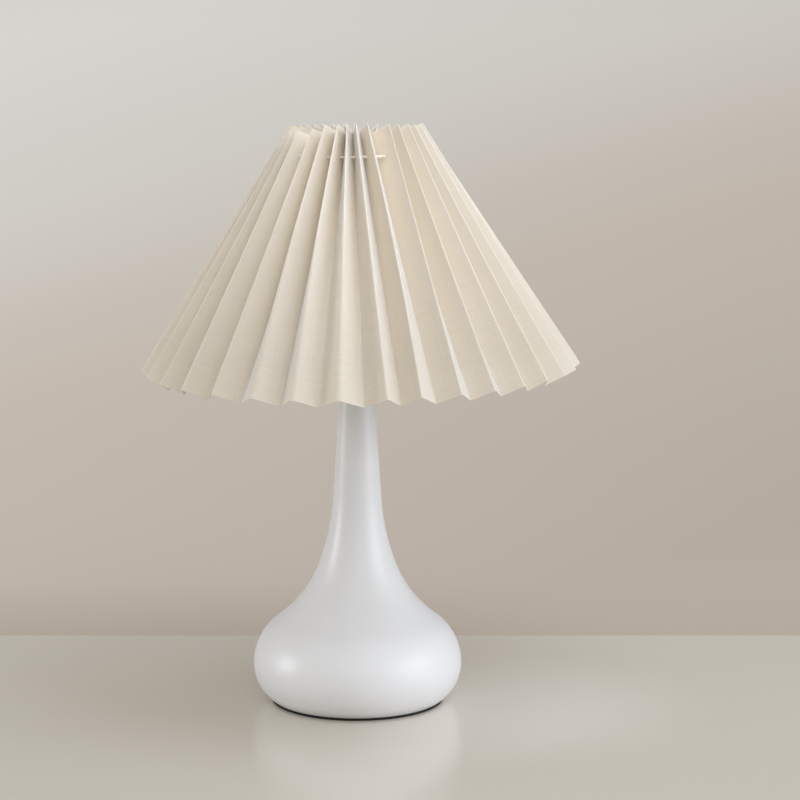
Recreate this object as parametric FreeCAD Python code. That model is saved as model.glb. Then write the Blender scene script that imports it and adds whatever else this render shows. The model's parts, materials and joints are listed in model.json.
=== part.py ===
"""A table lamp with a gourd-shaped metal base and a pleated conical shade on a wire frame.

Every length is in millimetres. Z points up from the table, and the lamp's axis is the Z axis.
The front of the lamp faces -Y, and the lead's bush is at the back, towards +Y.
"""

import FreeCAD, Part
import math
import os

V = FreeCAD.Vector
UP = V(0, 0, 1)
FULL_TURN = 360.0
FRONT = -90.0
BACK = 90.0

# Overrun that takes a cutting tool clear of the face it cuts through.
cut_overrun = 1.0

# Foot: a soft pad under a pressed steel plate, which closes the base.
pad_thickness = 1.2
pad_overhang = 2.4
pad_hole_radius = 20.0
plate_thickness = 0.8
plate_inset = 0.8
well_radius = 17.0
well_depth = 8.0

# Base body: the outline runs up from the foot as a chain of tangent arcs, then a straight taper.
foot_radius = 68.6
belly_lower_radius = 35.0
belly_upper_radius = 44.5
flare_lower_radius = 99.2
flare_upper_radius = 186.0
neck_length = 107.4
foot_angle = 54.35
shoulder_angle = 53.9
flare_angle = 20.1
neck_taper_angle = 3.57
body_wall = 1.5
neck_top_wall = 2.0

# Cast weight that stands on the plate, with a web over the plate's well and a nut on the web.
weight_radius = 58.0
weight_height = 15.0
weight_chamfer = 1.5
weight_well_gap = 0.5
weight_nut_flats = 15.0
weight_nut_height = 3.0

# Hollow threaded tube that ties the plate to the lamp holder, with its nuts and washers.
tube_radius = 5.0
tube_bore_radius = 3.6
tube_clearance = 0.2
tube_tail = 1.2
tube_slot_width = 6.6
tube_slot_length = 16.0
tube_slot_gap = 5.0
nut_clearance = 0.05
base_nut_flats = 17.0
base_nut_height = 3.6
washer_radius = 10.5
washer_thickness = 1.0
washer_tooth_count = 12
washer_tooth_depth = 1.6
washer_tooth_width = 1.4
neck_nut_flats = 14.0
neck_nut_height = 3.0

# Bush in the wall at the back, for the lead.
bush_angle = 25.0
bush_bore_radius = 3.3
bush_neck_radius = 5.0
bush_hole_clearance = 0.15
bush_flange_radius = 7.4
bush_flange_height = 1.7
bush_inner_flange_radius = 6.4
bush_inner_flange_height = 1.3
bush_inner_gap = 0.9
bush_round = 0.7

# Cap between the top of the neck and the lamp holder.
cap_radius = 14.6
cap_height = 4.0
cap_round = 1.4

# Lamp holder: a cup that screws on the tube, and a barrel that carries the shade ring.
cup_radius = 20.0
cup_height = 24.0
cup_bend = 8.0
cup_wall = 2.2
ledge_radius = 14.2
ledge_height = 2.4
boss_radius = 10.8
boss_height = 10.0
insert_radius = 6.6
insert_flange_radius = 8.4
insert_flange_height = 1.8
grub_radius = 1.5
grub_gap = 0.1
grub_height = 5.0
grub_slot_width = 0.6
grub_slot_depth = 1.0
spigot_length = 6.0
spigot_gap = 0.2
spigot_clearance = 0.15
spigot_wall = 1.8
shoulder_radius = 22.6
shoulder_height = 3.0
barrel_radius = 19.6
barrel_height = 36.0
barrel_lip_round = 0.8

# Ceramic core of the holder, with its terminals.
core_clearance = 0.2
core_height = 14.4
core_boss_radius = 9.0
core_boss_height = 3.0
pocket_width = 8.0
pocket_depth = 8.5
pocket_length = 7.0
pocket_radius_place = 8.6
clamp_thickness = 1.0
clamp_gap = 0.3
screw_radius = 1.7
screw_head_radius = 2.9
screw_head_height = 2.0
screw_length = 4.4
screw_slot_width = 0.7
screw_slot_depth = 0.9

# Screw shell and centre contact: the shell's radius is the middle of its rolled thread.
thread_pitch = 3.629
shell_mean_radius = 12.6
shell_clearance = 0.3
shell_sheet = 0.5
shell_height = 20.0
shell_lip = 2.8
contact_width = 5.0
contact_sheet = 0.5
contact_rise = 1.9
contact_foot_length = 4.5
contact_tip_length = 5.0
contact_gap = 0.2

# Threaded ring that clamps the shade's fitter on the barrel's shoulder.
ring_clearance = 0.25
ring_gap = 0.3
ring_flange_radius = 27.5
ring_flange_height = 2.4
ring_grip_radius = 23.6
ring_height = 13.0
ring_groove_count = 24
ring_groove_radius = 1.0
ring_chamfer = 0.6

# Lamp bulb.
bulb_tip_radius = 4.4
bulb_tip_height = 1.4
insulator_height = 3.6
insulator_top_radius = 9.6
bulb_shell_height = 21.0
bulb_shell_sheet = 0.4
bulb_length = 108.0
bulb_radius = 30.0
housing_neck_radius = 14.6
housing_height = 38.0
housing_bulge = 1.6
housing_wall = 1.6
housing_plug_length = 9.0
housing_plug_clearance = 0.15
dome_wall = 1.2
dome_seat_gap = 0.1
board_thickness = 1.6
board_gap = 0.6
led_count = 12
led_size = 3.0
led_height = 0.8
led_circle_share = 0.68
driver_height = 30.0
driver_sheet = 1.2
driver_gap = 0.3
driver_depth_share = 0.5
capacitor_radius = 3.4
capacitor_height = 9.0
choke_size = 6.5

# Shade: fold lines of the pleats, as radii and heights at their ends.
pleat_count = 34
ridge_top_radius = 54.0
ridge_bottom_radius = 175.0
shade_height = 191.0
shade_below_fitter = 35.2
pleat_top_depth = 18.5
pleat_bottom_depth = 13.8
pleat_top_drop = 8.5
pleat_bottom_drop = 7.8
panel_rows = 4
sheet_thickness = 0.5

# Directions of the folds that face the front, counted from it; those behind follow in even steps.
ridge_bottom_angles = (-82, -72, -61, -50.5, -39, -27.2, -16.3, -4.6, 7.5, 15.9, 26.4, 36.1, 46, 55.8,
                       65.5, 75.5)
ridge_top_angles = (-88.9, -79, -67.5, -57.5, -38.8, -25.8, -14.2, -6.6, 1.1, 10.6, 29.9, 38.8, 51, 60,
                    71.5, 81.5)
valley_bottom_angles = (-77, -66.5, -56.5, -44.7, -33, -21, -10.7, 1.6, 11.6, 21.2, 31.6, 42, 53, 62.3,
                        70.8)

# Cord that gathers the pleats near their top.
gather_below_top = 23.0
gather_depth_share = 0.42
gather_cord_radius = 1.2
gather_hole_clearance = 0.3
knot_radius = 2.2
knot_seam_angle = 45.0

# Wire frame under the pleats.
wire_radius = 1.5
rib_radius = 1.25
rib_count = 6
frame_gap = 0.3
bottom_ring_rise = 14.0
fitter_thickness = 1.2
fitter_clearance = 0.5
fitter_width = 7.0
fitter_gap = 0.2
arm_count = 3
arm_radius = 1.5
arm_start_gap = 1.0

# Heights that follow from the sizes above.
plate_bottom = pad_thickness
plate_top = plate_bottom + plate_thickness
foot_height = plate_top
well_ceiling = plate_bottom + well_depth
well_top = well_ceiling + plate_thickness
weight_top = plate_top + weight_height


def sin(angle):
    return math.sin(math.radians(angle))


def cos(angle):
    return math.cos(math.radians(angle))


def via(radius, height):
    return radius, height, "arc"


def lathe(outline):
    """Turns a closed outline of (radius, height) points about the Z axis.

    A point given by via() is the middle of an arc between its neighbours.
    """
    edges = []
    points = outline + [outline[0]]
    at = V(points[0][0], 0, points[0][1])
    middle = None
    for radius, height, *kind in points[1:]:
        here = V(radius, 0, height)
        if kind:
            middle = here
            continue
        if middle is None:
            edges.append(Part.LineSegment(at, here).toShape())
        else:
            edges.append(Part.Arc(at, middle, here).toShape())
        at = here
        middle = None
    face = Part.Face(Part.Wire(edges))
    return face.revolve(V(0, 0, 0), UP, FULL_TURN)


def round_corner(corner, before, after):
    """Outline points for a quarter round of a square corner, from `before` to `after`."""
    centre = V(before[0] + after[0] - corner[0], 0, before[1] + after[1] - corner[1])
    out = V(corner[0], 0, corner[1]) - centre
    middle = centre + out / math.sqrt(2)
    return [before, via(middle.x, middle.z), after]


def washer(inner, outer, bottom, height):
    disc = Part.makeCylinder(outer, height, V(0, 0, bottom))
    if not inner:
        return disc
    hole = Part.makeCylinder(inner, height + 2 * cut_overrun, V(0, 0, bottom - cut_overrun))
    return disc.cut(hole)


def around(shape, count, start=0.0):
    """Copies of a shape, spaced evenly about the Z axis."""
    copies = []
    for i in range(count):
        copy = shape.copy()
        copy.rotate(V(0, 0, 0), UP, start + FULL_TURN * i / count)
        copies.append(copy)
    return copies


def hexagon_nut(flats, bore, bottom, height):
    sides = 6
    corners = []
    for i in range(sides):
        angle = FULL_TURN * i / sides
        corners.append(V(cos(angle), sin(angle), 0) * (flats / math.sqrt(3)) + UP * bottom)
    prism = Part.Face(Part.makePolygon(corners + corners[:1])).extrude(UP * height)
    # The corners are eased as on a turned nut.
    top = flats / 2 + height
    ease = lathe([(0, bottom), (flats / 2, bottom), (top, bottom + height / 2),
                  (flats / 2, bottom + height), (0, bottom + height)])
    hole = Part.makeCylinder(bore, height + 2 * cut_overrun, V(0, 0, bottom - cut_overrun))
    return prism.common(ease).cut(hole)


# Base.


def belly_centre():
    """Radius and height of the centre of the two arcs that meet at the widest place."""
    return (foot_radius - belly_lower_radius * cos(foot_angle),
            foot_height + belly_lower_radius * sin(foot_angle))


def body_chain(inset):
    """Outline of the body's side from the foot to the neck's top, moved inwards by `inset`."""
    lower = belly_lower_radius - inset
    upper = belly_upper_radius - inset
    flare_1 = flare_lower_radius + inset
    flare_2 = flare_upper_radius + inset
    centre_radius, belly_height = belly_centre()
    widest = centre_radius + lower
    # The lower arc ends level with the foot, whatever the inset.
    end_angle = math.degrees(math.asin((belly_height - foot_height) / lower))
    half = end_angle / 2
    chain = [(centre_radius + lower * cos(end_angle), foot_height),
             via(centre_radius + lower * cos(half), belly_height - lower * sin(half)),
             (widest, belly_height)]
    arcs = [(upper, 0.0, shoulder_angle, 1),
            (flare_1, shoulder_angle, flare_angle, -1),
            (flare_2, flare_angle, neck_taper_angle, -1)]
    radius, height = widest, belly_height
    for bend, start, end, side in arcs:
        for angle in ((start + end) / 2, end):
            point = (radius - side * bend * (cos(start) - cos(angle)),
                     height + side * bend * (sin(angle) - sin(start)))
            chain.append(point if angle == end else via(*point))
        radius, height = point
    chain.append((radius - neck_length * sin(neck_taper_angle),
                  height + neck_length * cos(neck_taper_angle)))
    return chain


neck_top_radius, neck_top = body_chain(0.0)[-1]
cap_top = neck_top + cap_height
cup_bottom = cap_top + neck_nut_height
cup_top = cup_bottom + cup_height
barrel_bottom = cup_top
shoulder_top = barrel_bottom + shoulder_height
barrel_top = shoulder_top + barrel_height
core_bottom = barrel_bottom - spigot_length - spigot_gap
core_top = core_bottom + core_height
contact_top = core_top + core_boss_height + contact_rise + contact_sheet
tip_bottom = contact_top + contact_gap
tube_bottom = well_ceiling - washer_thickness - base_nut_height - tube_tail
tube_top = cup_bottom + boss_height
tube_hole_radius = tube_radius + tube_clearance
core_radius = cup_radius - cup_wall - spigot_clearance - spigot_wall - core_clearance
shell_bore_radius = shell_mean_radius + shell_clearance
shell_radius = shell_bore_radius + shell_sheet
fitter_bottom = shoulder_top + fitter_gap
fitter_top = fitter_bottom + fitter_thickness
fitter_bore_radius = barrel_radius + fitter_clearance
fitter_radius = fitter_bore_radius + fitter_width
ring_bottom = fitter_top + ring_gap
shade_bottom = fitter_bottom - shade_below_fitter
shade_top = shade_bottom + shade_height
grub_place = cup_bottom + grub_height


def bush_frame():
    """Place and direction of the lead's bush: the wall's outer face and its outward normal."""
    centre_radius, belly_height = belly_centre()
    out = V(0, cos(bush_angle), -sin(bush_angle))
    return V(0, centre_radius, belly_height) + out * belly_lower_radius, out


def base_body():
    outer = body_chain(0.0)
    inner = body_chain(body_wall)
    ceiling = neck_top - neck_top_wall
    # The inner wall stops under the neck's closed top.
    top_radius = inner[-1][0] + (inner[-1][1] - ceiling) * sin(neck_taper_angle) / cos(neck_taper_angle)
    inner[-1] = (top_radius, ceiling)
    outline = outer + [(tube_hole_radius, neck_top), (tube_hole_radius, ceiling)] + inner[::-1]
    shape = lathe(outline)
    place, out = bush_frame()
    hole = Part.makeCylinder(bush_neck_radius + bush_hole_clearance,
                             2 * body_wall + 2 * cut_overrun + 2 * bush_inner_gap,
                             place - out * (2 * body_wall + cut_overrun + bush_inner_gap), out)
    return shape.cut(hole)


def foot_pad():
    return washer(pad_hole_radius, foot_radius + pad_overhang, 0, pad_thickness)


def bottom_plate():
    rim = foot_radius - plate_inset
    side = well_radius + plate_thickness
    return lathe([(tube_hole_radius, well_ceiling), (well_radius, well_ceiling),
                  (well_radius, plate_bottom), (rim, plate_bottom), (rim, plate_top),
                  (side, plate_top), (side, well_top), (tube_hole_radius, well_top)])


def base_weight():
    bore = well_radius + plate_thickness + weight_well_gap
    return lathe([(tube_hole_radius, well_top), (bore, well_top), (bore, plate_top),
                  (weight_radius, plate_top), (weight_radius, weight_top - weight_chamfer),
                  (weight_radius - weight_chamfer, weight_top), (tube_hole_radius, weight_top)])


def weight_nut():
    return hexagon_nut(weight_nut_flats, tube_radius + nut_clearance, weight_top, weight_nut_height)


def threaded_tube():
    tube = washer(tube_bore_radius, tube_radius, tube_bottom, tube_top - tube_bottom)
    # A slot in its back takes the lead in, just above the weight.
    slot_bottom = weight_top + weight_nut_height + tube_slot_gap
    slot = Part.makeBox(tube_slot_width, tube_radius + cut_overrun, tube_slot_length,
                        V(-tube_slot_width / 2, 0, slot_bottom))
    return tube.cut(slot)


def base_washer():
    bottom = well_ceiling - washer_thickness
    ring = washer(tube_hole_radius, washer_radius, bottom, washer_thickness)
    gap = Part.makeBox(washer_tooth_depth + cut_overrun, washer_tooth_width, 2 * washer_thickness,
                       V(washer_radius - washer_tooth_depth, -washer_tooth_width / 2,
                         bottom - washer_thickness / 2))
    return ring.cut(around(gap, washer_tooth_count))


def base_nut():
    bottom = well_ceiling - washer_thickness - base_nut_height
    return hexagon_nut(base_nut_flats, tube_radius + nut_clearance, bottom, base_nut_height)


def cable_bush():
    """A stepped bush: a flange outside the wall, a neck in its hole and a lip inside."""
    neck = body_wall + bush_inner_gap
    inner_end = -neck - bush_inner_flange_height
    flange = bush_flange_radius
    outline = [(bush_bore_radius, inner_end), (bush_inner_flange_radius, inner_end),
               (bush_inner_flange_radius, -neck), (bush_neck_radius, -neck),
               (bush_neck_radius, 0), (flange, 0)]
    outline += round_corner((flange, bush_flange_height), (flange, bush_flange_height - bush_round),
                            (flange - bush_round, bush_flange_height))
    mouth = bush_bore_radius
    outline += [(mouth, bush_flange_height)]
    shape = lathe(outline)
    place, out = bush_frame()
    shape.Placement = FreeCAD.Placement(place, FreeCAD.Rotation(UP, out))
    return shape


def neck_cap():
    side = cap_radius
    return lathe([(tube_hole_radius, neck_top), (side - cap_round, neck_top)]
                 + round_corner((side, neck_top), (side - cap_round, neck_top),
                                (side, neck_top + cap_round))[1:]
                 + round_corner((side, cap_top), (side, cap_top - cap_round),
                                (side - cap_round, cap_top))
                 + [(tube_hole_radius, cap_top)])


def neck_nut():
    return hexagon_nut(neck_nut_flats, tube_radius + nut_clearance, cap_top, neck_nut_height)


# Lamp holder.


def holder_cup():
    """A moulded cup with a boss for the threaded insert and a ledge under the core."""
    inside = cup_radius - cup_wall
    floor = cup_bottom + cup_wall
    # The inside corner is a plain slope under the outer bend.
    slope = cup_bend - cup_wall
    ledge_bottom = core_bottom - ledge_height
    boss_top = cup_bottom + boss_height
    seat = boss_top - insert_flange_height
    outline = [(insert_radius, cup_bottom)]
    outline += round_corner((cup_radius, cup_bottom), (cup_radius - cup_bend, cup_bottom),
                            (cup_radius, cup_bottom + cup_bend))
    outline += [(cup_radius, cup_top), (inside, cup_top), (inside, core_bottom),
                (ledge_radius, core_bottom), (ledge_radius, ledge_bottom), (inside, ledge_bottom),
                (inside, floor + slope), (inside - slope, floor), (boss_radius, floor),
                (boss_radius, boss_top), (insert_flange_radius, boss_top),
                (insert_flange_radius, seat), (insert_radius, seat)]
    cup = lathe(outline)
    hole = Part.makeCylinder(grub_radius + grub_gap, cup_radius + cut_overrun,
                             V(0, 0, grub_place), V(0, 1, 0))
    return cup.cut(hole)


def holder_insert():
    """Threaded metal insert that takes the tube."""
    top = cup_bottom + boss_height
    shape = lathe([(tube_radius + nut_clearance, cup_bottom), (insert_radius, cup_bottom),
                   (insert_radius, top - insert_flange_height),
                   (insert_flange_radius, top - insert_flange_height),
                   (insert_flange_radius, top), (tube_radius + nut_clearance, top)])
    hole = Part.makeCylinder(grub_radius + grub_gap, insert_flange_radius + cut_overrun,
                             V(0, 0, grub_place), V(0, 1, 0))
    return shape.cut(hole)


def grub_screw():
    start = tube_radius + grub_gap
    length = boss_radius - start
    screw = Part.makeCylinder(grub_radius, length, V(0, start, grub_place), V(0, 1, 0))
    slot = Part.makeBox(2 * grub_radius + 2 * cut_overrun, grub_slot_depth + cut_overrun,
                        grub_slot_width,
                        V(-grub_radius - cut_overrun, start + length - grub_slot_depth,
                          grub_place - grub_slot_width / 2))
    return screw.cut(slot)


def holder_barrel():
    spigot = cup_radius - cup_wall - spigot_clearance
    bore = spigot - spigot_wall
    throat = shell_radius + core_clearance
    spigot_bottom = core_bottom + spigot_gap
    step = core_top + core_clearance
    outline = [(bore, spigot_bottom), (spigot, spigot_bottom), (spigot, barrel_bottom),
               (shoulder_radius, barrel_bottom), (shoulder_radius, shoulder_top),
               (barrel_radius, shoulder_top)]
    outline += round_corner((barrel_radius, barrel_top), (barrel_radius, barrel_top - barrel_lip_round),
                            (barrel_radius - barrel_lip_round, barrel_top))
    outline += [(throat, barrel_top), (throat, step), (bore, step)]
    return lathe(outline)


def pocket_tools(shape):
    """Two copies of a shape modelled at +X, one at each terminal."""
    return around(shape, 2)


def holder_core():
    """Ceramic puck with a raised seat for the contact and two pockets for the terminals."""
    body = Part.makeCylinder(core_radius, core_height, V(0, 0, core_bottom))
    body = body.fuse(Part.makeCylinder(core_boss_radius, core_boss_height, V(0, 0, core_top)))
    pocket = Part.makeBox(pocket_length, pocket_width, pocket_depth + cut_overrun,
                          V(pocket_radius_place - pocket_length / 2, -pocket_width / 2,
                            core_bottom - cut_overrun))
    return body.removeSplitter().cut(pocket_tools(pocket))


def terminal_clamps():
    """Brass saddles at the roof of each pocket."""
    roof = core_bottom + pocket_depth
    plate = Part.makeBox(pocket_length - 2 * clamp_gap, pocket_width - 2 * clamp_gap, clamp_thickness,
                         V(pocket_radius_place - pocket_length / 2 + clamp_gap,
                           -pocket_width / 2 + clamp_gap, roof - clamp_thickness))
    return Part.makeCompound(pocket_tools(plate))


def terminal_screws():
    """Cheese-head screws under the saddles, one at each terminal."""
    head_top = core_bottom + pocket_depth - clamp_thickness
    shank_bottom = head_top - screw_length
    place = pocket_radius_place
    shank = Part.makeCylinder(screw_radius, screw_length, V(place, 0, shank_bottom))
    head = Part.makeCylinder(screw_head_radius, screw_head_height,
                             V(place, 0, shank_bottom))
    slot = Part.makeBox(2 * screw_head_radius + 2 * cut_overrun, screw_slot_width,
                        screw_slot_depth + cut_overrun,
                        V(place - screw_head_radius - cut_overrun, -screw_slot_width / 2,
                          shank_bottom - cut_overrun))
    return Part.makeCompound(pocket_tools(shank.fuse(head).removeSplitter().cut(slot)))


def screw_shell():
    """Thin metal shell with an in-turned lip that stands on the core."""
    lip = shell_radius - shell_lip
    top = core_top + shell_height
    return lathe([(lip, core_top), (shell_radius, core_top), (shell_radius, top),
                  (shell_bore_radius, top), (shell_bore_radius, core_top + shell_sheet),
                  (lip, core_top + shell_sheet)])


def centre_contact():
    """Brass tongue: a foot on the core's boss, a ramp and a raised tip under the bulb."""
    seat = core_top + core_boss_height
    top = contact_top
    foot = -core_boss_radius + contact_foot_length
    ramp_end = -contact_tip_length / 2
    tip_end = contact_tip_length / 2
    sheet = contact_sheet
    points = [(-core_boss_radius, seat), (foot, seat), (ramp_end, top - sheet), (tip_end, top - sheet),
              (tip_end, top), (ramp_end, top), (foot, seat + sheet), (-core_boss_radius, seat + sheet)]
    corners = [V(x, -contact_width / 2, z) for x, z in points]
    face = Part.Face(Part.makePolygon(corners + corners[:1]))
    strip = face.extrude(V(0, contact_width, 0))
    return strip.common(Part.makeCylinder(core_boss_radius, contact_rise + core_boss_height,
                                          V(0, 0, seat)))


def shade_ring():
    """Threaded clamp ring: a flange over the fitter and a ribbed grip above it."""
    bore = barrel_radius + ring_clearance
    top = ring_bottom + ring_height
    flange_top = ring_bottom + ring_flange_height
    ring = lathe([(bore, ring_bottom), (ring_flange_radius, ring_bottom),
                  (ring_flange_radius, flange_top - ring_chamfer),
                  (ring_flange_radius - ring_chamfer, flange_top), (ring_grip_radius, flange_top),
                  (ring_grip_radius, top - ring_chamfer), (ring_grip_radius - ring_chamfer, top),
                  (bore, top)])
    groove = Part.makeCylinder(ring_groove_radius, ring_height,
                               V(ring_grip_radius, 0, flange_top + ring_chamfer))
    return ring.cut(around(groove, ring_groove_count))


# Bulb.

insulator_bottom = tip_bottom + bulb_tip_height
bulb_shell_bottom = insulator_bottom + insulator_height
bulb_shell_top = bulb_shell_bottom + bulb_shell_height
housing_top = bulb_shell_top + housing_height
bulb_top = tip_bottom + bulb_length
dome_centre = bulb_top - bulb_radius
plug_radius = shell_mean_radius - bulb_shell_sheet - housing_plug_clearance


# The housing's rim lies on the dome's sphere.
housing_rim = math.sqrt(bulb_radius ** 2 - (housing_top - dome_centre) ** 2)


def bulb_contact():
    """Solder dome at the foot of the bulb."""
    return lathe([(0, tip_bottom), (bulb_tip_radius / 2, tip_bottom),
                  (bulb_tip_radius, insulator_bottom), (0, insulator_bottom)])


def bulb_insulator():
    return lathe([(0, insulator_bottom), (bulb_tip_radius, insulator_bottom),
                  (insulator_top_radius, bulb_shell_bottom), (0, bulb_shell_bottom)])


def bulb_shell():
    """Metal screw cap, with its foot drawn in to the insulator."""
    wall = bulb_shell_sheet
    outer = shell_mean_radius
    shoulder = bulb_shell_bottom + (outer - insulator_top_radius) / 2
    return lathe([(insulator_top_radius - wall, bulb_shell_bottom),
                  (insulator_top_radius, bulb_shell_bottom),
                  (outer, shoulder), (outer, bulb_shell_top),
                  (outer - wall, bulb_shell_top), (outer - wall, shoulder + wall),
                  (insulator_top_radius - wall, bulb_shell_bottom + wall)])


def bulb_housing():
    """Flared plastic body of the bulb, with a plug that fills the metal cap's mouth."""
    wall = housing_wall
    rim = housing_rim
    middle = bulb_shell_top + housing_height / 2
    bulge = (rim + housing_neck_radius) / 2 + housing_bulge
    plug_bottom = bulb_shell_top - housing_plug_length
    return lathe([(plug_radius - wall, plug_bottom), (plug_radius, plug_bottom),
                  (plug_radius, bulb_shell_top), (housing_neck_radius, bulb_shell_top),
                  via(bulge, middle), (rim, housing_top), (rim - wall, housing_top),
                  via(bulge - wall, middle), (plug_radius - wall, bulb_shell_top + wall)])


def bulb_dome():
    """Opal dome: more than half of a hollow sphere, open where it stands on the housing."""
    centre = V(0, 0, dome_centre)
    depth = bulb_radius + housing_top + dome_seat_gap - dome_centre
    inside = Part.makeSphere(bulb_radius - dome_wall, centre)
    below = Part.makeCylinder(bulb_radius, depth, centre - UP * bulb_radius)
    return Part.makeSphere(bulb_radius, centre).cut([inside, below])


def bulb_board():
    """Metal-core board in the housing's mouth."""
    return Part.makeCylinder(housing_rim - housing_wall - board_gap, board_thickness,
                             V(0, 0, housing_top - board_thickness))


def bulb_leds():
    circle = housing_rim * led_circle_share
    chip = Part.makeBox(led_size, led_size, led_height,
                        V(circle - led_size / 2, -led_size / 2, housing_top))
    return Part.makeCompound(around(chip, led_count))


def bulb_driver():
    """Upright driver board in the plug, with a capacitor and a choke on its faces."""
    bottom = bulb_shell_top - housing_plug_length * driver_depth_share
    half_width = math.sqrt((plug_radius - housing_wall - driver_gap) ** 2 - driver_sheet ** 2)
    board = Part.makeBox(2 * half_width, driver_sheet, driver_height, V(-half_width, 0, bottom))
    can = Part.makeCylinder(capacitor_radius, capacitor_height,
                            V(0, driver_sheet + capacitor_radius, bottom + driver_height / 2))
    choke = Part.makeBox(choke_size, choke_size, choke_size,
                         V(-choke_size / 2, -choke_size, bottom + driver_height / 3))
    return Part.makeCompound([board, can, choke])


# Shade.


def fold_ends(ridge):
    """Radius and height of a fold line's bottom and top."""
    if ridge:
        return (ridge_bottom_radius, shade_bottom), (ridge_top_radius, shade_top)
    return ((ridge_bottom_radius - pleat_bottom_depth, shade_bottom - pleat_bottom_drop),
            (ridge_top_radius - pleat_top_depth, shade_top - pleat_top_drop))


def fold_place(ridge, share):
    """Radius and height of a fold line's outer face, at a share of its length from the bottom."""
    bottom, top = fold_ends(ridge)
    return [low + share * (high - low) for low, high in zip(bottom, top)]


def fold_share(ridge, height):
    """Share of a fold line's length that lies below a height."""
    (_, bottom), (_, top) = fold_ends(ridge)
    return (height - bottom) / (top - bottom)


def fold_shift(share):
    """How far the inner face's folds lie behind the outer face's, by the sheet and the mean pitch."""
    ridge, valley = fold_place(True, share), fold_place(False, share)
    half_pitch = (ridge[0] + valley[0]) / 2 * math.pi / pleat_count
    depth = math.hypot(ridge[0] - valley[0], ridge[1] - valley[1])
    return sheet_thickness * math.hypot(half_pitch, depth) / half_pitch


def inner_place(ridge, share):
    """Radius and height of a fold line's inner face: the outer one, moved in square to its line."""
    radius, height = fold_place(ridge, share)
    (bottom_radius, bottom), (top_radius, top) = fold_ends(ridge)
    length = math.hypot(bottom_radius - top_radius, top - bottom)
    step = fold_shift(share) / length
    return radius - step * (top - bottom), height - step * (bottom_radius - top_radius)


def ridge_angles(front_angles):
    """Directions of all ridges: the ones given in front, and even steps round the back."""
    rest = pleat_count - len(front_angles)
    step = (FULL_TURN + front_angles[0] - front_angles[-1]) / (rest + 1)
    return list(front_angles) + [front_angles[-1] + step * (i + 1) for i in range(rest)]


def valley_angles(ridges, front_angles=()):
    """Directions of all valleys: the ones given in front, and midway between the other ridges."""
    middles = [(a + b) / 2 for a, b in zip(ridges, ridges[1:] + [ridges[0] + FULL_TURN])]
    return list(front_angles) + middles[len(front_angles):]


ridge_bottoms = ridge_angles(ridge_bottom_angles)
ridge_tops = ridge_angles(ridge_top_angles)
valley_bottoms = valley_angles(ridge_bottoms, valley_bottom_angles)
valley_tops = valley_angles(ridge_tops)


def fold_angle(ridge, i, share):
    """Direction of a fold, counted from the front, at a share of its length from the bottom."""
    low, high = (ridge_bottoms, ridge_tops) if ridge else (valley_bottoms, valley_tops)
    turns, place = divmod(i, pleat_count)
    return turns * FULL_TURN + low[place] + share * (high[place] - low[place])


def fold_row(place, share):
    """Corners of the pleated sheet at a share of its height, ridge and valley in turn."""
    corners = []
    for i in range(pleat_count):
        for ridge in (True, False):
            radius, height = place(ridge, share)
            angle = FRONT + fold_angle(ridge, i, share)
            corners.append(V(radius * cos(angle), radius * sin(angle), height))
    return corners


def strip_faces(row, other):
    """Flat triangles between two closed rows of corners, alike on both sides of a ridge."""
    faces = []
    for i in range(0, len(row), 2):
        for j in (i - 1, (i + 1) % len(row)):
            for corners in ((row[i], row[j], other[j]), (row[i], other[j], other[i])):
                faces.append(Part.Face(Part.makePolygon(corners + corners[:1])))
    return faces


def gather_place():
    """Radius and height of the gathering cord's circle."""
    height = shade_top - gather_below_top
    ridge, valley = [fold_place(ridge, fold_share(ridge, height))[0] for ridge in (True, False)]
    return ridge + (valley - ridge) * gather_depth_share, height


def pleated_cover():
    """One folded sheet, its panels twisting from steep at the top to open at the bottom."""
    shares = [i / panel_rows for i in range(panel_rows + 1)]
    outer = [fold_row(fold_place, share) for share in shares]
    inner = [fold_row(inner_place, share) for share in shares]
    faces = strip_faces(outer[0], inner[0]) + strip_faces(outer[-1], inner[-1])
    for face in (outer, inner):
        for row, other in zip(face, face[1:]):
            faces += strip_faces(row, other)
    shell = Part.makeShell(faces)
    shell.sewShape()
    sheet = Part.makeSolid(shell)
    if sheet.Volume < 0:
        sheet.reverse()
    return sheet.cut(cord_holes())


def cord_holes():
    """Straight holes for the cord, each through both sides of a ridge, from valley to valley."""
    radius, height = gather_place()
    ridge_share, valley_share = fold_share(True, height), fold_share(False, height)
    holes = []
    for i in range(pleat_count):
        middle = fold_angle(True, i, ridge_share)
        before = math.radians(middle - fold_angle(False, i - 1, valley_share)) * radius
        after = math.radians(fold_angle(False, i, valley_share) - middle) * radius
        hole = Part.makeCylinder(gather_cord_radius + gather_hole_clearance, before + after,
                                 V(radius, -before, height), V(0, 1, 0))
        hole.rotate(V(0, 0, 0), UP, FRONT + middle)
        holes.append(hole)
    return holes


def gather_cord():
    """A closed loop through every pleat, with its knot in the valley nearest the back."""
    radius, height = gather_place()
    loop = Part.makeTorus(radius, gather_cord_radius, V(0, 0, height))
    share = fold_share(False, height)
    valleys = [fold_angle(False, i, share) for i in range(pleat_count)]
    back = FRONT + min(valleys, key=lambda angle: abs(angle - FULL_TURN / 2))
    knot = Part.makeSphere(knot_radius)
    # The knot's seam is turned away from the loop.
    knot.rotate(V(0, 0, 0), UP, knot_seam_angle)
    knot.translate(V(radius * cos(back), radius * sin(back), height))
    return loop.fuse(knot)


def frame_line(height):
    """Radius at which a frame wire's centre clears the pleats' inner folds at a height."""
    share = fold_share(False, height)
    (bottom_radius, bottom), (top_radius, top) = fold_ends(False)
    length = math.hypot(bottom_radius - top_radius, top - bottom)
    gap = fold_shift(share) + frame_gap + wire_radius
    return fold_place(False, share)[0] - gap * length / (top - bottom)


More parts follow.
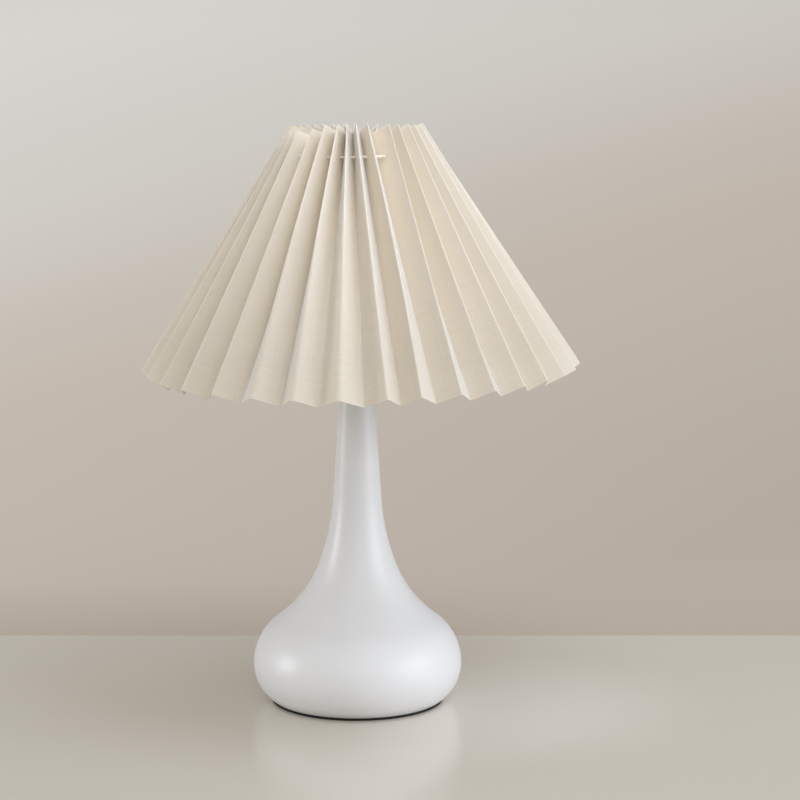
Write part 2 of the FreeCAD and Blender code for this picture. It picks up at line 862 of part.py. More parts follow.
top_ring_height = shade_top - gather_below_top
bottom_ring_height = shade_bottom + bottom_ring_rise


def frame_ring(height):
    return Part.makeTorus(frame_line(height), wire_radius, V(0, 0, height))


def top_ring():
    return frame_ring(top_ring_height)


def bottom_ring():
    return frame_ring(bottom_ring_height)


def wire(start, end, radius):
    """A straight round wire between two (radius, height) places in the XZ plane."""
    begin = V(start[0], 0, start[1])
    along = V(end[0], 0, end[1]) - begin
    return Part.makeCylinder(radius, along.Length, begin, along)


def frame_ribs():
    """Straight wires between the two rings, cut to butt against them."""
    rib = wire((frame_line(top_ring_height), top_ring_height),
               (frame_line(bottom_ring_height), bottom_ring_height), rib_radius)
    return Part.makeCompound(around(rib.cut([top_ring(), bottom_ring()]), rib_count))


def fitter_ring():
    return washer(fitter_bore_radius, fitter_radius, fitter_bottom, fitter_thickness)


def fitter_arms():
    """Wires from under the fitter ring to the bottom ring, cut to butt against both."""
    start = (shoulder_radius + arm_start_gap, fitter_bottom - arm_radius)
    arm = wire(start, (frame_line(bottom_ring_height), bottom_ring_height), arm_radius)
    rings = [bottom_ring(), fitter_ring(),
             washer(0, fitter_radius, fitter_bottom, fitter_thickness + arm_radius)]
    return Part.makeCompound(around(arm.cut(rings), arm_count, start=BACK))


STAND = (foot_pad, bottom_plate, base_weight, weight_nut, base_body, cable_bush, threaded_tube,
         base_washer, base_nut, neck_cap, neck_nut, holder_cup, holder_insert, grub_screw,
         holder_barrel, holder_core, terminal_clamps, terminal_screws, screw_shell, centre_contact)
BULB = (bulb_contact, bulb_insulator, bulb_shell, bulb_housing, bulb_dome, bulb_board, bulb_leds,
        bulb_driver)
SHADE = (shade_ring, pleated_cover, gather_cord, top_ring, bottom_ring, frame_ribs, fitter_ring,
         fitter_arms)

os.makedirs("parts", exist_ok=True)
for piece in STAND + BULB + SHADE:
    shape = piece()
    shape.exportStep("parts/" + piece.__name__ + ".step")
    solids = shape.Solids
    print(piece.__name__, "solids", len(solids), "valid", shape.isValid(),
          "volume", round(sum(s.Volume for s in solids), 1))
print("neck top", round(neck_top, 2), round(neck_top_radius, 2), "fitter", round(fitter_bottom, 2),
      "shade", round(shade_bottom, 2), round(shade_top, 2), "bulb top", round(bulb_top, 2))
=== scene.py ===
import json
import math

import bpy
from mathutils import Matrix, Vector, noise


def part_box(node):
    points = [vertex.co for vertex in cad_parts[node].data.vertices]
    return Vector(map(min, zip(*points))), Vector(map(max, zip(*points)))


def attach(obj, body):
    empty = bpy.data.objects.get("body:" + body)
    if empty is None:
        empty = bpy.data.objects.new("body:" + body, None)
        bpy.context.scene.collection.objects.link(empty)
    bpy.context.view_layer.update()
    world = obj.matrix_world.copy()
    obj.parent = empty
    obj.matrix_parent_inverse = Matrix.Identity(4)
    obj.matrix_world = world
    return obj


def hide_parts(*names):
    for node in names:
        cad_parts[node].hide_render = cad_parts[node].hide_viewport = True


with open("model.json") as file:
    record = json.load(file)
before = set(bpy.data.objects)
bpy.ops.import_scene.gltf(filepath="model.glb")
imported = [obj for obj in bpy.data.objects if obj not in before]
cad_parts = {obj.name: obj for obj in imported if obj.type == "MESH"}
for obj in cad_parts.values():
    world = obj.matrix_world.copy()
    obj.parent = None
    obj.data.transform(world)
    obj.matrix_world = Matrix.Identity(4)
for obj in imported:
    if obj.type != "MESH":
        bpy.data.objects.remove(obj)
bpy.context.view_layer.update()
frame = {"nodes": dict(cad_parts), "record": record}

mm = 0.001
fullTurn = math.tau
margin = 0.1  # mm, for telling a wall's points by their radius


# Camera: a long lens a little above the shade's top, looking down at the lamp.

cameraPlan = {
    "lens": 127.04,  # mm on a 36 mm wide sensor
    "place": (34.0, -2204.0, 605.0),  # mm
    "pitch": 9.33,  # degrees below level
    "farthest": 200.0,  # m
}


def addCamera(plan):
    place = Vector(plan["place"]) * mm
    bpy.ops.object.camera_add(location=place, rotation=(math.radians(90 - plan["pitch"]), 0, 0))
    camera = bpy.context.object
    camera.name = "lampCamera"
    camera.data.lens = plan["lens"]
    camera.data.clip_end = plan["farthest"]
    bpy.context.scene.camera = camera


addCamera(cameraPlan)
print("camera placed")


# Colours and nodes.


# An sRGB hex colour as the linear values that the shaders take.
def linear(code):
    channels = [int(code[i:i + 2], 16) / 255 for i in (1, 3, 5)]
    return [c / 12.92 if c < 0.0405 else ((c + 0.055) / 1.055) ** 2.4 for c in channels] + [1.0]


# Adds a node; a setting is one of its inputs or properties, and a link feeds an input from a socket
# or from another node's first output.
def addNode(tree, kind, settings=None, links=None):
    made = tree.nodes.new("ShaderNode" + kind)
    for name, value in (settings or {}).items():
        if isinstance(name, int) or name in made.inputs:
            made.inputs[name].default_value = value
        else:
            setattr(made, name, value)
    for name, source in (links or {}).items():
        socket = source if isinstance(source, bpy.types.NodeSocket) else source.outputs[0]
        tree.links.new(socket, made.inputs[name])
    return made


# A material with its plain numbers set on the shader's own sockets.
def startMaterial(name, shader):
    material = bpy.data.materials.new(name)
    material.use_nodes = True
    tree = material.node_tree
    surface = tree.nodes["Principled BSDF"]
    for socket, value in shader.items():
        surface.inputs[socket].default_value = linear(value) if isinstance(value, str) else value
    return material, tree, surface


# Noise in Object coordinates whose grains are about `size` mm across.
def grain(tree, size, detail=2.0, stretch=(1, 1, 1)):
    where = addNode(tree, "TexCoord")
    turned = addNode(tree, "Mapping", {"Scale": [s / (size * mm) for s in stretch]},
                     {"Vector": where.outputs["Object"]})
    return addNode(tree, "TexNoise", {"Scale": 1.0, "Detail": detail},
                   {"Vector": turned.outputs["Vector"]}).outputs["Fac"]


# Colours the surface between two hex colours by a pattern.
def tint(tree, surface, pattern, low, high, spread=(0.3, 0.7)):
    ramp = addNode(tree, "ValToRGB", links={"Fac": pattern})
    for stop, place, code in zip(ramp.color_ramp.elements, spread, (low, high)):
        stop.position = place
        stop.color = linear(code)
    tree.links.new(ramp.outputs["Color"], surface.inputs["Base Color"])
    return ramp.outputs["Color"]


# Moves the roughness between two values by a pattern.
def polish(tree, surface, pattern, low, high):
    span = addNode(tree, "MapRange", {"From Min": 0.3, "From Max": 0.7, "To Min": low, "To Max": high},
                   {"Value": pattern})
    tree.links.new(span.outputs["Result"], surface.inputs["Roughness"])


# Raises the surface by a pattern, `height` mm high.
def emboss(tree, surface, pattern, height, strength=1.0):
    bump = addNode(tree, "Bump", {"Strength": strength, "Distance": height * mm}, {"Height": pattern})
    tree.links.new(bump.outputs["Normal"], surface.inputs["Normal"])


# Finishes by slot. "shader" holds the surface's plain values. "tones" are two colours, "gloss" two
# roughnesses and "relief" a height in mm and its strength, each with the grain that they follow:
# its size in mm, then its detail and its stretch. Gloss and relief without one follow the tones' grain.
finishPlans = {
    # Satin lacquer sprayed on spun steel: soft highlights, with a faint ripple of the spray.
    "white_paint": {
        "name": "sprayedSatinLacquer",
        "shader": {"Base Color": "#F0F1F3", "Roughness": 0.34, "IOR": 1.5, "Coat Weight": 0.15,
                   "Coat Roughness": 0.3},
        "tones": (("#EEEFF1", "#F2F3F5"), 55.0),
        "gloss": ((0.32, 0.38), 9.0, 3.0),
        "relief": ((0.006, 0.5), 2.2, 1.0),
    },
    # Closed-cell foam sheet, die cut: dull black with a pitted skin.
    "foam_pad": {
        "name": "dieCutFoam",
        "shader": {"Base Color": "#1A1A1B", "Roughness": 0.9, "IOR": 1.45},
        "tones": (("#131314", "#262627"), 0.6, 3.0),
        "relief": ((0.08,),),
    },
    # Zinc plate on pressed and turned steel: bluish, cloudy and half bright.
    "zinc_steel": {
        "name": "zincPlatedSteel",
        "shader": {"Base Color": "#B9BDC2", "Metallic": 1.0, "Roughness": 0.36},
        "tones": (("#A9AEB5", "#C9CCCF"), 5.0, 4.0),
        "gloss": ((0.28, 0.45),),
        "relief": ((0.01, 0.4), 0.5),
    },
    # Grey iron as it leaves the sand mould: dark, dull and gritty.
    "cast_weight": {
        "name": "sandCastIron",
        "shader": {"Base Color": "#4A4846", "Metallic": 0.6, "Roughness": 0.75},
        "tones": (("#3A3836", "#5C5957"), 0.9, 5.0),
        "relief": ((0.25,),),
    },
    # Thermoset holder parts, compression moulded: smooth, with a trace of flow marks.
    "holder_plastic": {
        "name": "mouldedThermoset",
        "shader": {"Base Color": "#EDECE7", "Roughness": 0.32, "IOR": 1.55},
        "tones": (("#E9E7E1", "#F0EFEA"), 7.0, 3.0, (1, 1, 0.35)),
        "gloss": ((0.26, 0.38),),
        "relief": ((0.008, 0.4), 0.8),
    },
    # Soft grommet plastic, injection moulded: fine matt skin.
    "bush_plastic": {
        "name": "mouldedBushPlastic",
        "shader": {"Base Color": "#E6E5E1", "Roughness": 0.5, "IOR": 1.46},
        "tones": (("#E1E0DC", "#E9E8E4"), 4.0),
        "relief": ((0.015, 0.6), 0.35),
    },
    # Plain brass, turned or blanked: warm, with drawn streaks.
    "brass": {
        "name": "plainTurnedBrass",
        "shader": {"Base Color": "#CFA65B", "Metallic": 1.0, "Roughness": 0.3},
        "tones": (("#C49A50", "#D8B26C"), 0.6, 2.0, (1, 1, 6)),
        "gloss": ((0.24, 0.4),),
    },
    # Steatite ceramic, pressed and fired: off-white, dry and specked.
    "porcelain": {
        "name": "firedSteatite",
        "shader": {"Base Color": "#ECE8DF", "Roughness": 0.6, "IOR": 1.6},
        "tones": (("#D6D0C4", "#EFEBE2", (0.22, 0.4)), 0.5, 4.0),
        "relief": ((0.02, 0.5),),
    },
    # Nickel-plated sheet with a rolled thread: bright, with fine draw lines round it.
    "nickel_shell": {
        "name": "rolledNickelSheet",
        "shader": {"Base Color": "#C9C5BC", "Metallic": 1.0, "Roughness": 0.24},
        "tones": (("#BDB9B0", "#D5D2CA"), 0.5, 2.0, (0.2, 0.2, 2.0)),
        "gloss": ((0.18, 0.34),),
    },
    # Tin solder, melted on: grey and dimpled.
    "solder": {
        "name": "meltedSolder",
        "shader": {"Base Color": "#B4B4B6", "Metallic": 1.0, "Roughness": 0.4},
        "tones": (("#A2A2A5", "#C2C2C4"), 1.2),
        "relief": ((0.08, 0.6),),
    },
    # Black glass insulator, pressed hot: deep and glossy.
    "black_glass": {
        "name": "pressedBlackGlass",
        "shader": {"Base Color": "#0E0E11", "Roughness": 0.08, "IOR": 1.52},
        "tones": (("#0B0B0D", "#151519"), 3.0),
        "relief": ((0.02, 0.4), 2.0),
    },
    # Bulb housing, injection moulded in a heat-conducting plastic: satin, fine spark texture.
    "bulb_plastic": {
        "name": "satinBulbPlastic",
        "shader": {"Base Color": "#EEEEEC", "Roughness": 0.42, "IOR": 1.5},
        "tones": (("#EBEBE9", "#F1F1EF"), 14.0),
        "relief": ((0.01, 0.5), 0.4),
    },
    # Opal polycarbonate, blow moulded: milky, smooth, light spreads inside it.
    "opal_dome": {
        "name": "opalPolycarbonate",
        "shader": {"Base Color": "#F2F1ED", "Roughness": 0.3, "IOR": 1.58, "Subsurface Weight": 0.25,
                   "Subsurface Radius": [0.004, 0.004, 0.0035], "Subsurface Scale": 1.0},
        "tones": (("#F0EFEA", "#F4F3F0"), 20.0),
        "gloss": ((0.26, 0.34), 6.0),
    },
    # Aluminium circuit board under a white solder mask, screen printed: even and half matt.
    "board_metal": {
        "name": "whiteSolderMask",
        "shader": {"Base Color": "#EAEBE8", "Roughness": 0.45},
        "tones": (("#E4E5E2", "#EEEFEC"), 3.0),
        "relief": ((0.01, 0.4), 0.4),
    },
    # Phosphor cast over the LED dies: waxy yellow.
    "led_chip": {
        "name": "castPhosphor",
        "shader": {"Base Color": "#E8C23C", "Roughness": 0.5},
        "tones": (("#DDB52F", "#F0CD52"), 0.4, 3.0),
    },
    # Glass-epoxy board with a green mask, routed to size: glass threads show through it.
    "circuit_board": {
        "name": "glassEpoxyBoard",
        "shader": {"Base Color": "#2C6B3F", "Roughness": 0.4},
        "tones": (("#265E37", "#347849"), 0.5, 1.0, (3, 1, 1)),
    },
    # Wire dipped in white enamel: thick, glossy, gathered a little at the welds.
    "frame_paint": {
        "name": "dippedWhiteEnamel",
        "shader": {"Base Color": "#ECECE8", "Roughness": 0.28, "IOR": 1.5, "Coat Weight": 0.3,
                   "Coat Roughness": 0.15},
        "tones": (("#E7E7E3", "#F0F0EC"), 12.0),
        "relief": ((0.03, 0.5), 1.8),
    },
    # Cotton cord, laid from three strands: matt, with fibres that run along each strand.
    "gather_cord": {
        "name": "laidCottonCord",
        "shader": {"Base Color": "#EFE9DC", "Roughness": 0.8, "Sheen Weight": 0.15},
        "tones": (("#E2DACA", "#F3EEE3"), 0.35, 3.0),
        "relief": ((0.05,),),
    },
}


def makeFinish(plan):
    material, tree, surface = startMaterial(plan["name"], plan["shader"])
    for give, part in ((tint, "tones"), (polish, "gloss"), (emboss, "relief")):
        if part in plan:
            values, *own = plan[part]
            give(tree, surface, grain(tree, *(own or plan["tones"][1:])), *values)
    return material


# Linen-look cloth laminated on a stiff film, heat-set in pleats. The weave follows the cloth's own
# map, in metres; its real threads of 0.35 mm are drawn 0.7 mm apart, so that they show.
clothPlan = {
    "threadSpacing": 0.7,  # mm
    "slubLength": 26.0,  # mm
    "slubWidth": 0.9,  # mm
    "dark": "#D8CCB8",
    "light": "#DDD3C2",
    "top": "#F4E9D5",  # painted light: the cloth's colour turns paler towards the rim, standing in for daylight through the open top
    "paintedLightShare": 0.7,
    "paintedLightSpan": (0.03, 0.21),  # m up the cut cloth, from where to where the painted light turns it paler
    "toneSpread": (0.36, 0.6),
    "unevenness": 0.6,  # of the threads
    "relief": (0.03, 0.25),  # mm and strength
    "waveScale": 0.314,  # the wave texture's scale for bands one metre apart
}


def pleatedCloth(plan):
    material, tree, surface = startMaterial("laminatedLinenCloth", {
        "Base Color": plan["light"], "Roughness": 0.65, "IOR": 1.45, "Sheen Weight": 0.8,
        "Sheen Tint": "#E6F1FF", "Sheen Roughness": 0.35, "Subsurface Weight": 0.35, "Subsurface Scale": 1.0,
        "Subsurface Radius": [0.005, 0.0045, 0.0038]})
    cut = addNode(tree, "UVMap", {"uv_map": "clothMap"})

    def threads(direction):
        return addNode(tree, "TexWave", {
            "wave_type": "BANDS", "bands_direction": direction, "Distortion": plan["unevenness"], "Detail": 1.0,
            "Scale": plan["waveScale"] / (plan["threadSpacing"] * mm)}, {"Vector": cut.outputs["UV"]}).outputs["Fac"]

    def slubs(width, length):
        stretched = addNode(tree, "Mapping", {"Scale": [1 / (width * mm), 1 / (length * mm), 1]},
                            {"Vector": cut.outputs["UV"]})
        return addNode(tree, "TexNoise", {"Scale": 1.0, "Detail": 2.0},
                       {"Vector": stretched.outputs["Vector"]}).outputs["Fac"]

    weave = addNode(tree, "Math", {"operation": "MAXIMUM"}, {0: threads("X"), 1: threads("Y")})
    along = slubs(plan["slubWidth"], plan["slubLength"])
    across = slubs(plan["slubLength"], plan["slubWidth"])
    slub = addNode(tree, "Math", {"operation": "ADD"}, {0: along, 1: across})
    half = addNode(tree, "Math", {"operation": "MULTIPLY", 1: 0.5}, {0: slub})
    woven = tint(tree, surface, half, plan["dark"], plan["light"], plan["toneSpread"])
    # Painted light: the colour is mixed towards the paler top tone up the cloth, standing in for daylight through the
    # open top.
    place = addNode(tree, "SeparateXYZ", links={"Vector": cut.outputs["UV"]})
    start, end = plan["paintedLightSpan"]
    upper = addNode(tree, "MapRange", {"From Min": start, "From Max": end, "To Max": plan["paintedLightShare"]},
                    {"Value": place.outputs["Y"]})
    colour = addNode(tree, "Mix", {"data_type": "RGBA", 7: linear(plan["top"])}, {0: upper, 6: woven})
    tree.links.new(colour.outputs[2], surface.inputs["Base Color"])
    height = addNode(tree, "Math", {"operation": "MULTIPLY_ADD", 1: 0.5}, {0: weave, 2: half})
    emboss(tree, surface, height, *plan["relief"])
    return material


finishes = {slot: makeFinish(plan) for slot, plan in finishPlans.items()}
finishes["bulb_metal"] = makeFinish(finishPlans["nickel_shell"])
finishes["shade_fabric"] = pleatedCloth(clothPlan)
slotOfNode = {part["node"]: part["material_slot"] for part in frame["record"]["subparts"]}
bodyOfNode = {node: body for body, nodes in frame["record"]["behaviour"]["bodies"].items() for node in nodes}
print("materials made:", len(finishes))


# Helpers for modelling.


# Widest radius, lowest point and highest point of a CAD node, in mm.
def sizeOf(node):
    low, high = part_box(node)
    return high.x / mm, low.z / mm, high.z / mm


def select(piece):
    bpy.ops.object.select_all(action="DESELECT")
    piece.select_set(True)
    bpy.context.view_layer.objects.active = piece


# Puts a piece's place and turn into its mesh.
def settle():
    bpy.ops.object.transform_apply(location=True, rotation=True, scale=True)


# Points of an arc in an outline; angles are in degrees, 0 points outwards and 90 up.
def arc(centre, radius, start, end, steps=8):
    points = []
    for i in range(steps + 1):
        angle = math.radians(start + (end - start) * i / steps)
        points.append((centre[0] + radius * math.cos(angle), centre[1] + radius * math.sin(angle)))
    return points


# A square corner of an outline, rounded by the quarter of a circle between two angles.
def rounded(corner, radius, start, end, steps=5):
    ends = [math.radians(angle) for angle in (start, end)]
    centre = (corner[0] - radius * sum(map(math.cos, ends)), corner[1] - radius * sum(map(math.sin, ends)))
    return arc(centre, radius, start, end, steps)


# Spins an outline of (radius, height) points, in mm, about the lamp's axis; it ends where it starts.
def turned(name, outline, steps=96):
    radius, height = outline[0]
    bpy.ops.mesh.primitive_plane_add(size=mm, location=(radius * mm, 0, height * mm))
    piece = bpy.context.object
    piece.name = name
    bpy.ops.object.mode_set(mode="EDIT")
    bpy.ops.mesh.merge(type="CENTER")
    for nextRadius, nextHeight in outline[1:] + outline[:1]:
        step = ((nextRadius - radius) * mm, 0, (nextHeight - height) * mm)
        bpy.ops.mesh.extrude_region_move(TRANSFORM_OT_translate={"value": step})
        radius, height = nextRadius, nextHeight
    bpy.ops.mesh.select_all(action="SELECT")
    bpy.ops.mesh.spin(steps=steps, angle=fullTurn, center=(0, 0, 0), axis=(0, 0, 1))
    bpy.ops.mesh.select_all(action="SELECT")
    bpy.ops.mesh.remove_doubles(threshold=0.002 * mm)
    bpy.ops.mesh.normals_make_consistent(inside=False)
    bpy.ops.object.mode_set(mode="OBJECT")
    settle()
    return piece


def applyModifier(piece, kind, settings):
    modifier = piece.modifiers.new(kind.title(), kind)
    for name, value in settings.items():
        setattr(modifier, name, value)
    select(piece)
    bpy.ops.object.modifier_apply(modifier=modifier.name)


# Adds a rod about a point along a direction; all in m.
def rod(place, along, radius, length, sides):
    bpy.ops.mesh.primitive_cylinder_add(vertices=sides, radius=radius, depth=length, location=place,
                                        rotation=along.to_track_quat("Z", "Y").to_euler())
    return bpy.context.object


# Cuts a tool out of a piece and deletes the tool.
def cutOut(piece, tool):
    applyModifier(piece, "BOOLEAN", {"operation": "DIFFERENCE", "object": tool, "solver": "EXACT"})
    bpy.data.objects.remove(tool)


def join(name, pieces):
    select(pieces[0])
    for piece in pieces[1:]:
        piece.select_set(True)
    bpy.ops.object.join()
    pieces[0].name = name
    return pieces[0]


# Gives a piece its finish and its body, and hides the CAD nodes that it stands for.
def finish(piece, nodes, smoothAngle=35):
    select(piece)
    bpy.ops.object.shade_smooth_by_angle(angle=math.radians(smoothAngle))
    piece.data.name = piece.name
    slotName = slotOfNode[nodes[0]]
    piece.data.materials.clear()
    piece.data.materials.append(finishes[slotName])
    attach(piece, bodyOfNode[nodes[0]])
    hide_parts(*nodes)


# Moves a spun piece's walls outwards by what `move` gives for a radius, height and angle, in mm.
def press(piece, move):
    for vertex in piece.data.vertices:
        x, y, height = vertex.co / mm
        radius = math.hypot(x, y)
        grown = 1 + move(radius, height, math.atan2(y, x)) / radius
        vertex.co.x *= grown
        vertex.co.y *= grown


# Rolls a thread into a spun piece's walls between two heights; `sink` lays its crests that far in.
def rollThread(piece, plan, walls, bottom, top, sink=0.0):
    def move(radius, height, angle):
        fade = min(1.0, (height - bottom) / plan["fade"], (top - height) / plan["fade"])
        if fade <= 0 or not walls[0] < radius < walls[1]:
            return 0.0
        wave = math.cos(fullTurn * (height / plan["pitch"] + plan["start"]) - angle)
        return fade * (plan["depth"] / 2 * wave - sink)

    press(piece, move)


# An outline's straight run, in short steps that a rolled thread can follow.
def run(start, end, step=0.45):
    count = max(1, round(math.dist(start, end) / step))
    return [(start[0] + (end[0] - start[0]) * i / count, start[1] + (end[1] - start[1]) * i / count)
            for i in range(count + 1)]


# Base: a spun gourd, a chain of tangent arcs up to a straight tapered neck.

basePlan = {
    "bellyRadius": 83.2,
    "bellyHeight": 30.4,
    "lowerRadius": 34.4,
    "upperRadius": 44.5,
    "flareRadii": (99.2, 186.0),
    "footAngle": 55.6,
    "seat": 2.02,  # height at which the wall stands on the bottom plate
    "footInset": 0.1,
    "shoulderAngle": 53.9,
    "flareAngle": 20.1,
    "taperAngle": 3.57,
    "wall": 1.5,
    "tubeHole": 5.2,
    "topRound": 0.6,
    "bushHole": 5.15,
    "bushHoleDepth": 24,
    "arcSteps": 18,
    "neckStep": 6.0,
    "segments": 160,
}


# The wall's outer line, or its inner one with the wall as inset, from the foot up to a height.
def gourdLine(plan, inset, top):
    belly, level = plan["bellyRadius"] - inset, plan["bellyHeight"]
    lower, upper = plan["lowerRadius"] - inset, plan["upperRadius"] - inset
    line = arc((belly - lower, level), lower, -plan["footAngle"], 0, plan["arcSteps"])
    line += arc((belly - upper, level), upper, 0, plan["shoulderAngle"], plan["arcSteps"] + 2)[1:]
    angles = (plan["shoulderAngle"], plan["flareAngle"], plan["taperAngle"])
    for radius, start, end in zip(plan["flareRadii"], angles, angles[1:]):
        along = math.radians(start)
        last = line[-1]
        radius += inset
        centre = (last[0] + radius * math.cos(along), last[1] + radius * math.sin(along))
        line += arc(centre, radius, start + 180, end + 180, plan["arcSteps"])[1:]
    last = line[-1]
    lean = math.tan(math.radians(plan["taperAngle"]))
    return line + run(last, (last[0] - (top - last[1]) * lean, top), plan["neckStep"])[1:]


def gourdOutline(plan):
    _, _, top = sizeOf("base_body")
    inner = gourdLine(plan, plan["wall"], top - plan["wall"])
    outer = gourdLine(plan, 0.0, top - plan["topRound"])
    outline = [(inner[0][0], plan["seat"]), (outer[0][0] - plan["footInset"], plan["seat"])] + outer
    outline += rounded((outer[-1][0], top), plan["topRound"], 0, 90)[1:]
    outline += [(plan["tubeHole"], top), (plan["tubeHole"], top - plan["wall"])] + inner[::-1]
    return outline


# The middle of the bush's outer end, and the way it faces.
def bushPlace():
    mount = [m for m in frame["record"]["mounts"] if m["name"] == "lead_inlet"][0]
    return Vector(mount["pos_m"]), Vector(mount["axis"])


def buildBase(plan):
    body = turned("gourdBase", gourdOutline(plan), plan["segments"])
    place, out = bushPlace()
    cutOut(body, rod(place, out, plan["bushHole"] * mm, plan["bushHoleDepth"] * mm, 48))
    finish(body, ["base_body"], 30)


# The pad's dark rim is carried up round the bottom plate's edge: a dark band that is partly the real pad and partly a
# stand-in for the shadow gap under the foot.
padPlan = {"radius": 68.25, "rim": 1.96, "rimInside": 67.88, "round": 0.15, "hole": 20.0}


def buildPad(plan):
    _, _, top = sizeOf("foot_pad")
    edge = plan["radius"]
    outline = [(plan["hole"], 0), (edge - plan["round"], 0)]
    outline += rounded((edge, 0), plan["round"], -90, 0)[1:]
    outline += rounded((edge, plan["rim"]), plan["round"], 0, 90)
    outline += [(plan["rimInside"], plan["rim"]), (plan["rimInside"], top), (plan["hole"], top)]
    finish(turned("footPad", outline, 128), ["foot_pad"])


# The bush for the lead: flange, neck and inner lip, with a moulded groove round the flange.
bushPlan = {
    "bore": 3.3,
    "neck": 5.0,
    "flange": 7.4,
    "flangeHeight": 1.7,
    "lip": 6.4,
    "depth": 2.4,  # from the wall's outside to the inner lip
    "lipHeight": 1.3,
    "round": 0.7,
    "groove": 0.25,
}


def buildBush(plan):
    bore, flange, high = plan["bore"], plan["flange"], plan["flangeHeight"]
    end = -plan["depth"] - plan["lipHeight"]
    outline = [(bore, end), (plan["lip"], end), (plan["lip"], -plan["depth"]), (plan["neck"], -plan["depth"]),
               (plan["neck"], 0), (flange, 0)]
    outline += rounded((flange, high), plan["round"], 0, 90)
    middle = (bore + flange) / 2
    outline += arc((middle, high), plan["groove"], 0, -180, 4)
    outline += rounded((bore, high), plan["groove"], 90, 180, 3)
    bush = turned("leadBush", outline, 64)
    place, out = bushPlace()
    wall = place - out * high * mm
    bush.matrix_world = Matrix.Translation(wall) @ out.to_track_quat("Z", "Y").to_matrix().to_4x4()
    select(bush)
    settle()
    finish(bush, ["cable_bush"])


capPlan = {"round": 1.4, "bore": 5.2, "bead": 0.35, "beadSink": 0.05}


def buildCap(plan):
    edge, low, high = sizeOf("neck_cap")
    middle = (low + high) / 2
    outline = [(plan["bore"], low), (edge - plan["round"], low)]
    outline += rounded((edge, low), plan["round"], -90, 0)[1:-1]
    outline += arc((edge - plan["beadSink"], middle), plan["bead"], -90, 90, 5)
    outline += rounded((edge, high), plan["round"], 0, 90)[1:]
    outline.append((plan["bore"], high))
    finish(turned("neckCap", outline), ["neck_cap"])


buildBase(basePlan)
buildPad(padPlan)
buildBush(bushPlan)
buildCap(capPlan)
print("base made")


# Lamp holder.

threadPlan = {
    "pitch": 3.629,  # mm for one turn
    "depth": 0.9,  # mm from crest to root of the rolled thread
    "fade": 2.0,  # mm over which it runs out
    "start": 0.0,  # share of a turn by which it is turned on
}
cupPlan = {
    "wall": 2.2,
    "bend": 8.0,
    "insert": 6.6,
    "insertFlange": 8.4,
    "insertFlangeHeight": 1.8,
    "boss": 10.8,
    "bossHeight": 10.0,
    "ledge": 14.2,
    "ledgeBottom": 15.4,  # above the cup's foot
    "ledgeTop": 17.8,
    "grubHole": 1.6,
    "grubHeight": 5.0,
    "rimRound": 0.5,
}


def buildCup(plan):
    outside, low, top = sizeOf("holder_cup")
    inside = outside - plan["wall"]
    floor = low + plan["wall"]
    slope = plan["bend"] - plan["wall"]
    boss = low + plan["bossHeight"]
    outline = [(plan["insert"], low)] + arc((outside - plan["bend"], low + plan["bend"]), plan["bend"], -90, 0, 14)
    outline += rounded((outside, top), plan["rimRound"], 0, 90, 3)
    outline += [(inside, top), (inside, low + plan["ledgeTop"]), (plan["ledge"], low + plan["ledgeTop"]),
                (plan["ledge"], low + plan["ledgeBottom"]), (inside, low + plan["ledgeBottom"]),
                (inside, floor + slope), (inside - slope, floor), (plan["boss"], floor), (plan["boss"], boss),
                (plan["insertFlange"], boss), (plan["insertFlange"], boss - plan["insertFlangeHeight"]),
                (plan["insert"], boss - plan["insertFlangeHeight"])]
    cup = turned("holderCup", outline)
    reach = outside + 1
    place = Vector((0, reach / 2, low + plan["grubHeight"])) * mm
    cutOut(cup, rod(place, Vector((0, 1, 0)), plan["grubHole"] * mm, reach * mm, 24))
    finish(cup, ["holder_cup"], 30)


barrelPlan = {
    "spigot": 17.65,
    "bore": 15.85,
    "shoulder": 22.6,
    "shoulderHeight": 3.0,
    "spigotLength": 6.0,
    "side": 19.6,
    "throat": 13.6,
    "step": 14.6,  # height of the step that holds the core down, above the spigot's foot
    "lipRound": 0.8,
    "edgeRound": 0.4,
    "thread": {"pitch": 2.0, "depth": 0.6, "fade": 1.2, "start": 0.5},
    "threadRoot": 18.5,  # walls inside this radius stay plain
    "threadGap": 2.0,
}


def buildBarrel(plan):
    _, low, top = sizeOf("holder_barrel")
    side = plan["side"]
    foot = low + plan["spigotLength"]
    shoulder = foot + plan["shoulderHeight"]
    edge = plan["edgeRound"]
    outline = [(plan["bore"], low), (plan["spigot"], low), (plan["spigot"], foot)]
    outline += rounded((plan["shoulder"], foot), edge, -90, 0, 3)
    outline += rounded((plan["shoulder"], shoulder), edge, 0, 90, 3)
    outline += run((side, shoulder), (side, top - plan["lipRound"]), 0.25)
    outline += rounded((side, top), plan["lipRound"], 0, 90)[1:]
    outline += [(plan["throat"], top), (plan["throat"], low + plan["step"]), (plan["bore"], low + plan["step"])]
    barrel = turned("holderBarrel", outline)
    # The thread is cut below the barrel's skin, so that the ring clears it.
    thread, gap = plan["thread"], plan["threadGap"]
    rollThread(barrel, thread, (plan["threadRoot"], side + margin), shoulder + gap, top - gap, thread["depth"] / 2)
    finish(barrel, ["holder_barrel"], 40)


shellPlan = {"sheet": 0.5, "lip": 2.8, "clear": 2.0}


def buildScrewShell(plan):
    side, low, top = sizeOf("screw_shell")
    bore = side - plan["sheet"]
    lip, floor = side - plan["lip"], low + plan["sheet"]
    outline = [(lip, low)] + run((side, low), (side, top)) + run((bore, top), (bore, floor)) + [(lip, floor)]
    shell = turned("screwShell", outline)
    rollThread(shell, threadPlan, (bore - margin, side + margin), low + plan["clear"], top)
    finish(shell, ["screw_shell"], 60)


# The ring's grooves are pressed into its grip by moving whole columns of the spun mesh.
ringPlan = {
    "bore": 19.85,
    "flangeHeight": 2.4,
    "grip": 23.6,
    "round": 0.6,
    "grooves": 24,
    "grooveDepth": 0.9,
    "columns": 8,  # of the mesh in each groove and rib
}


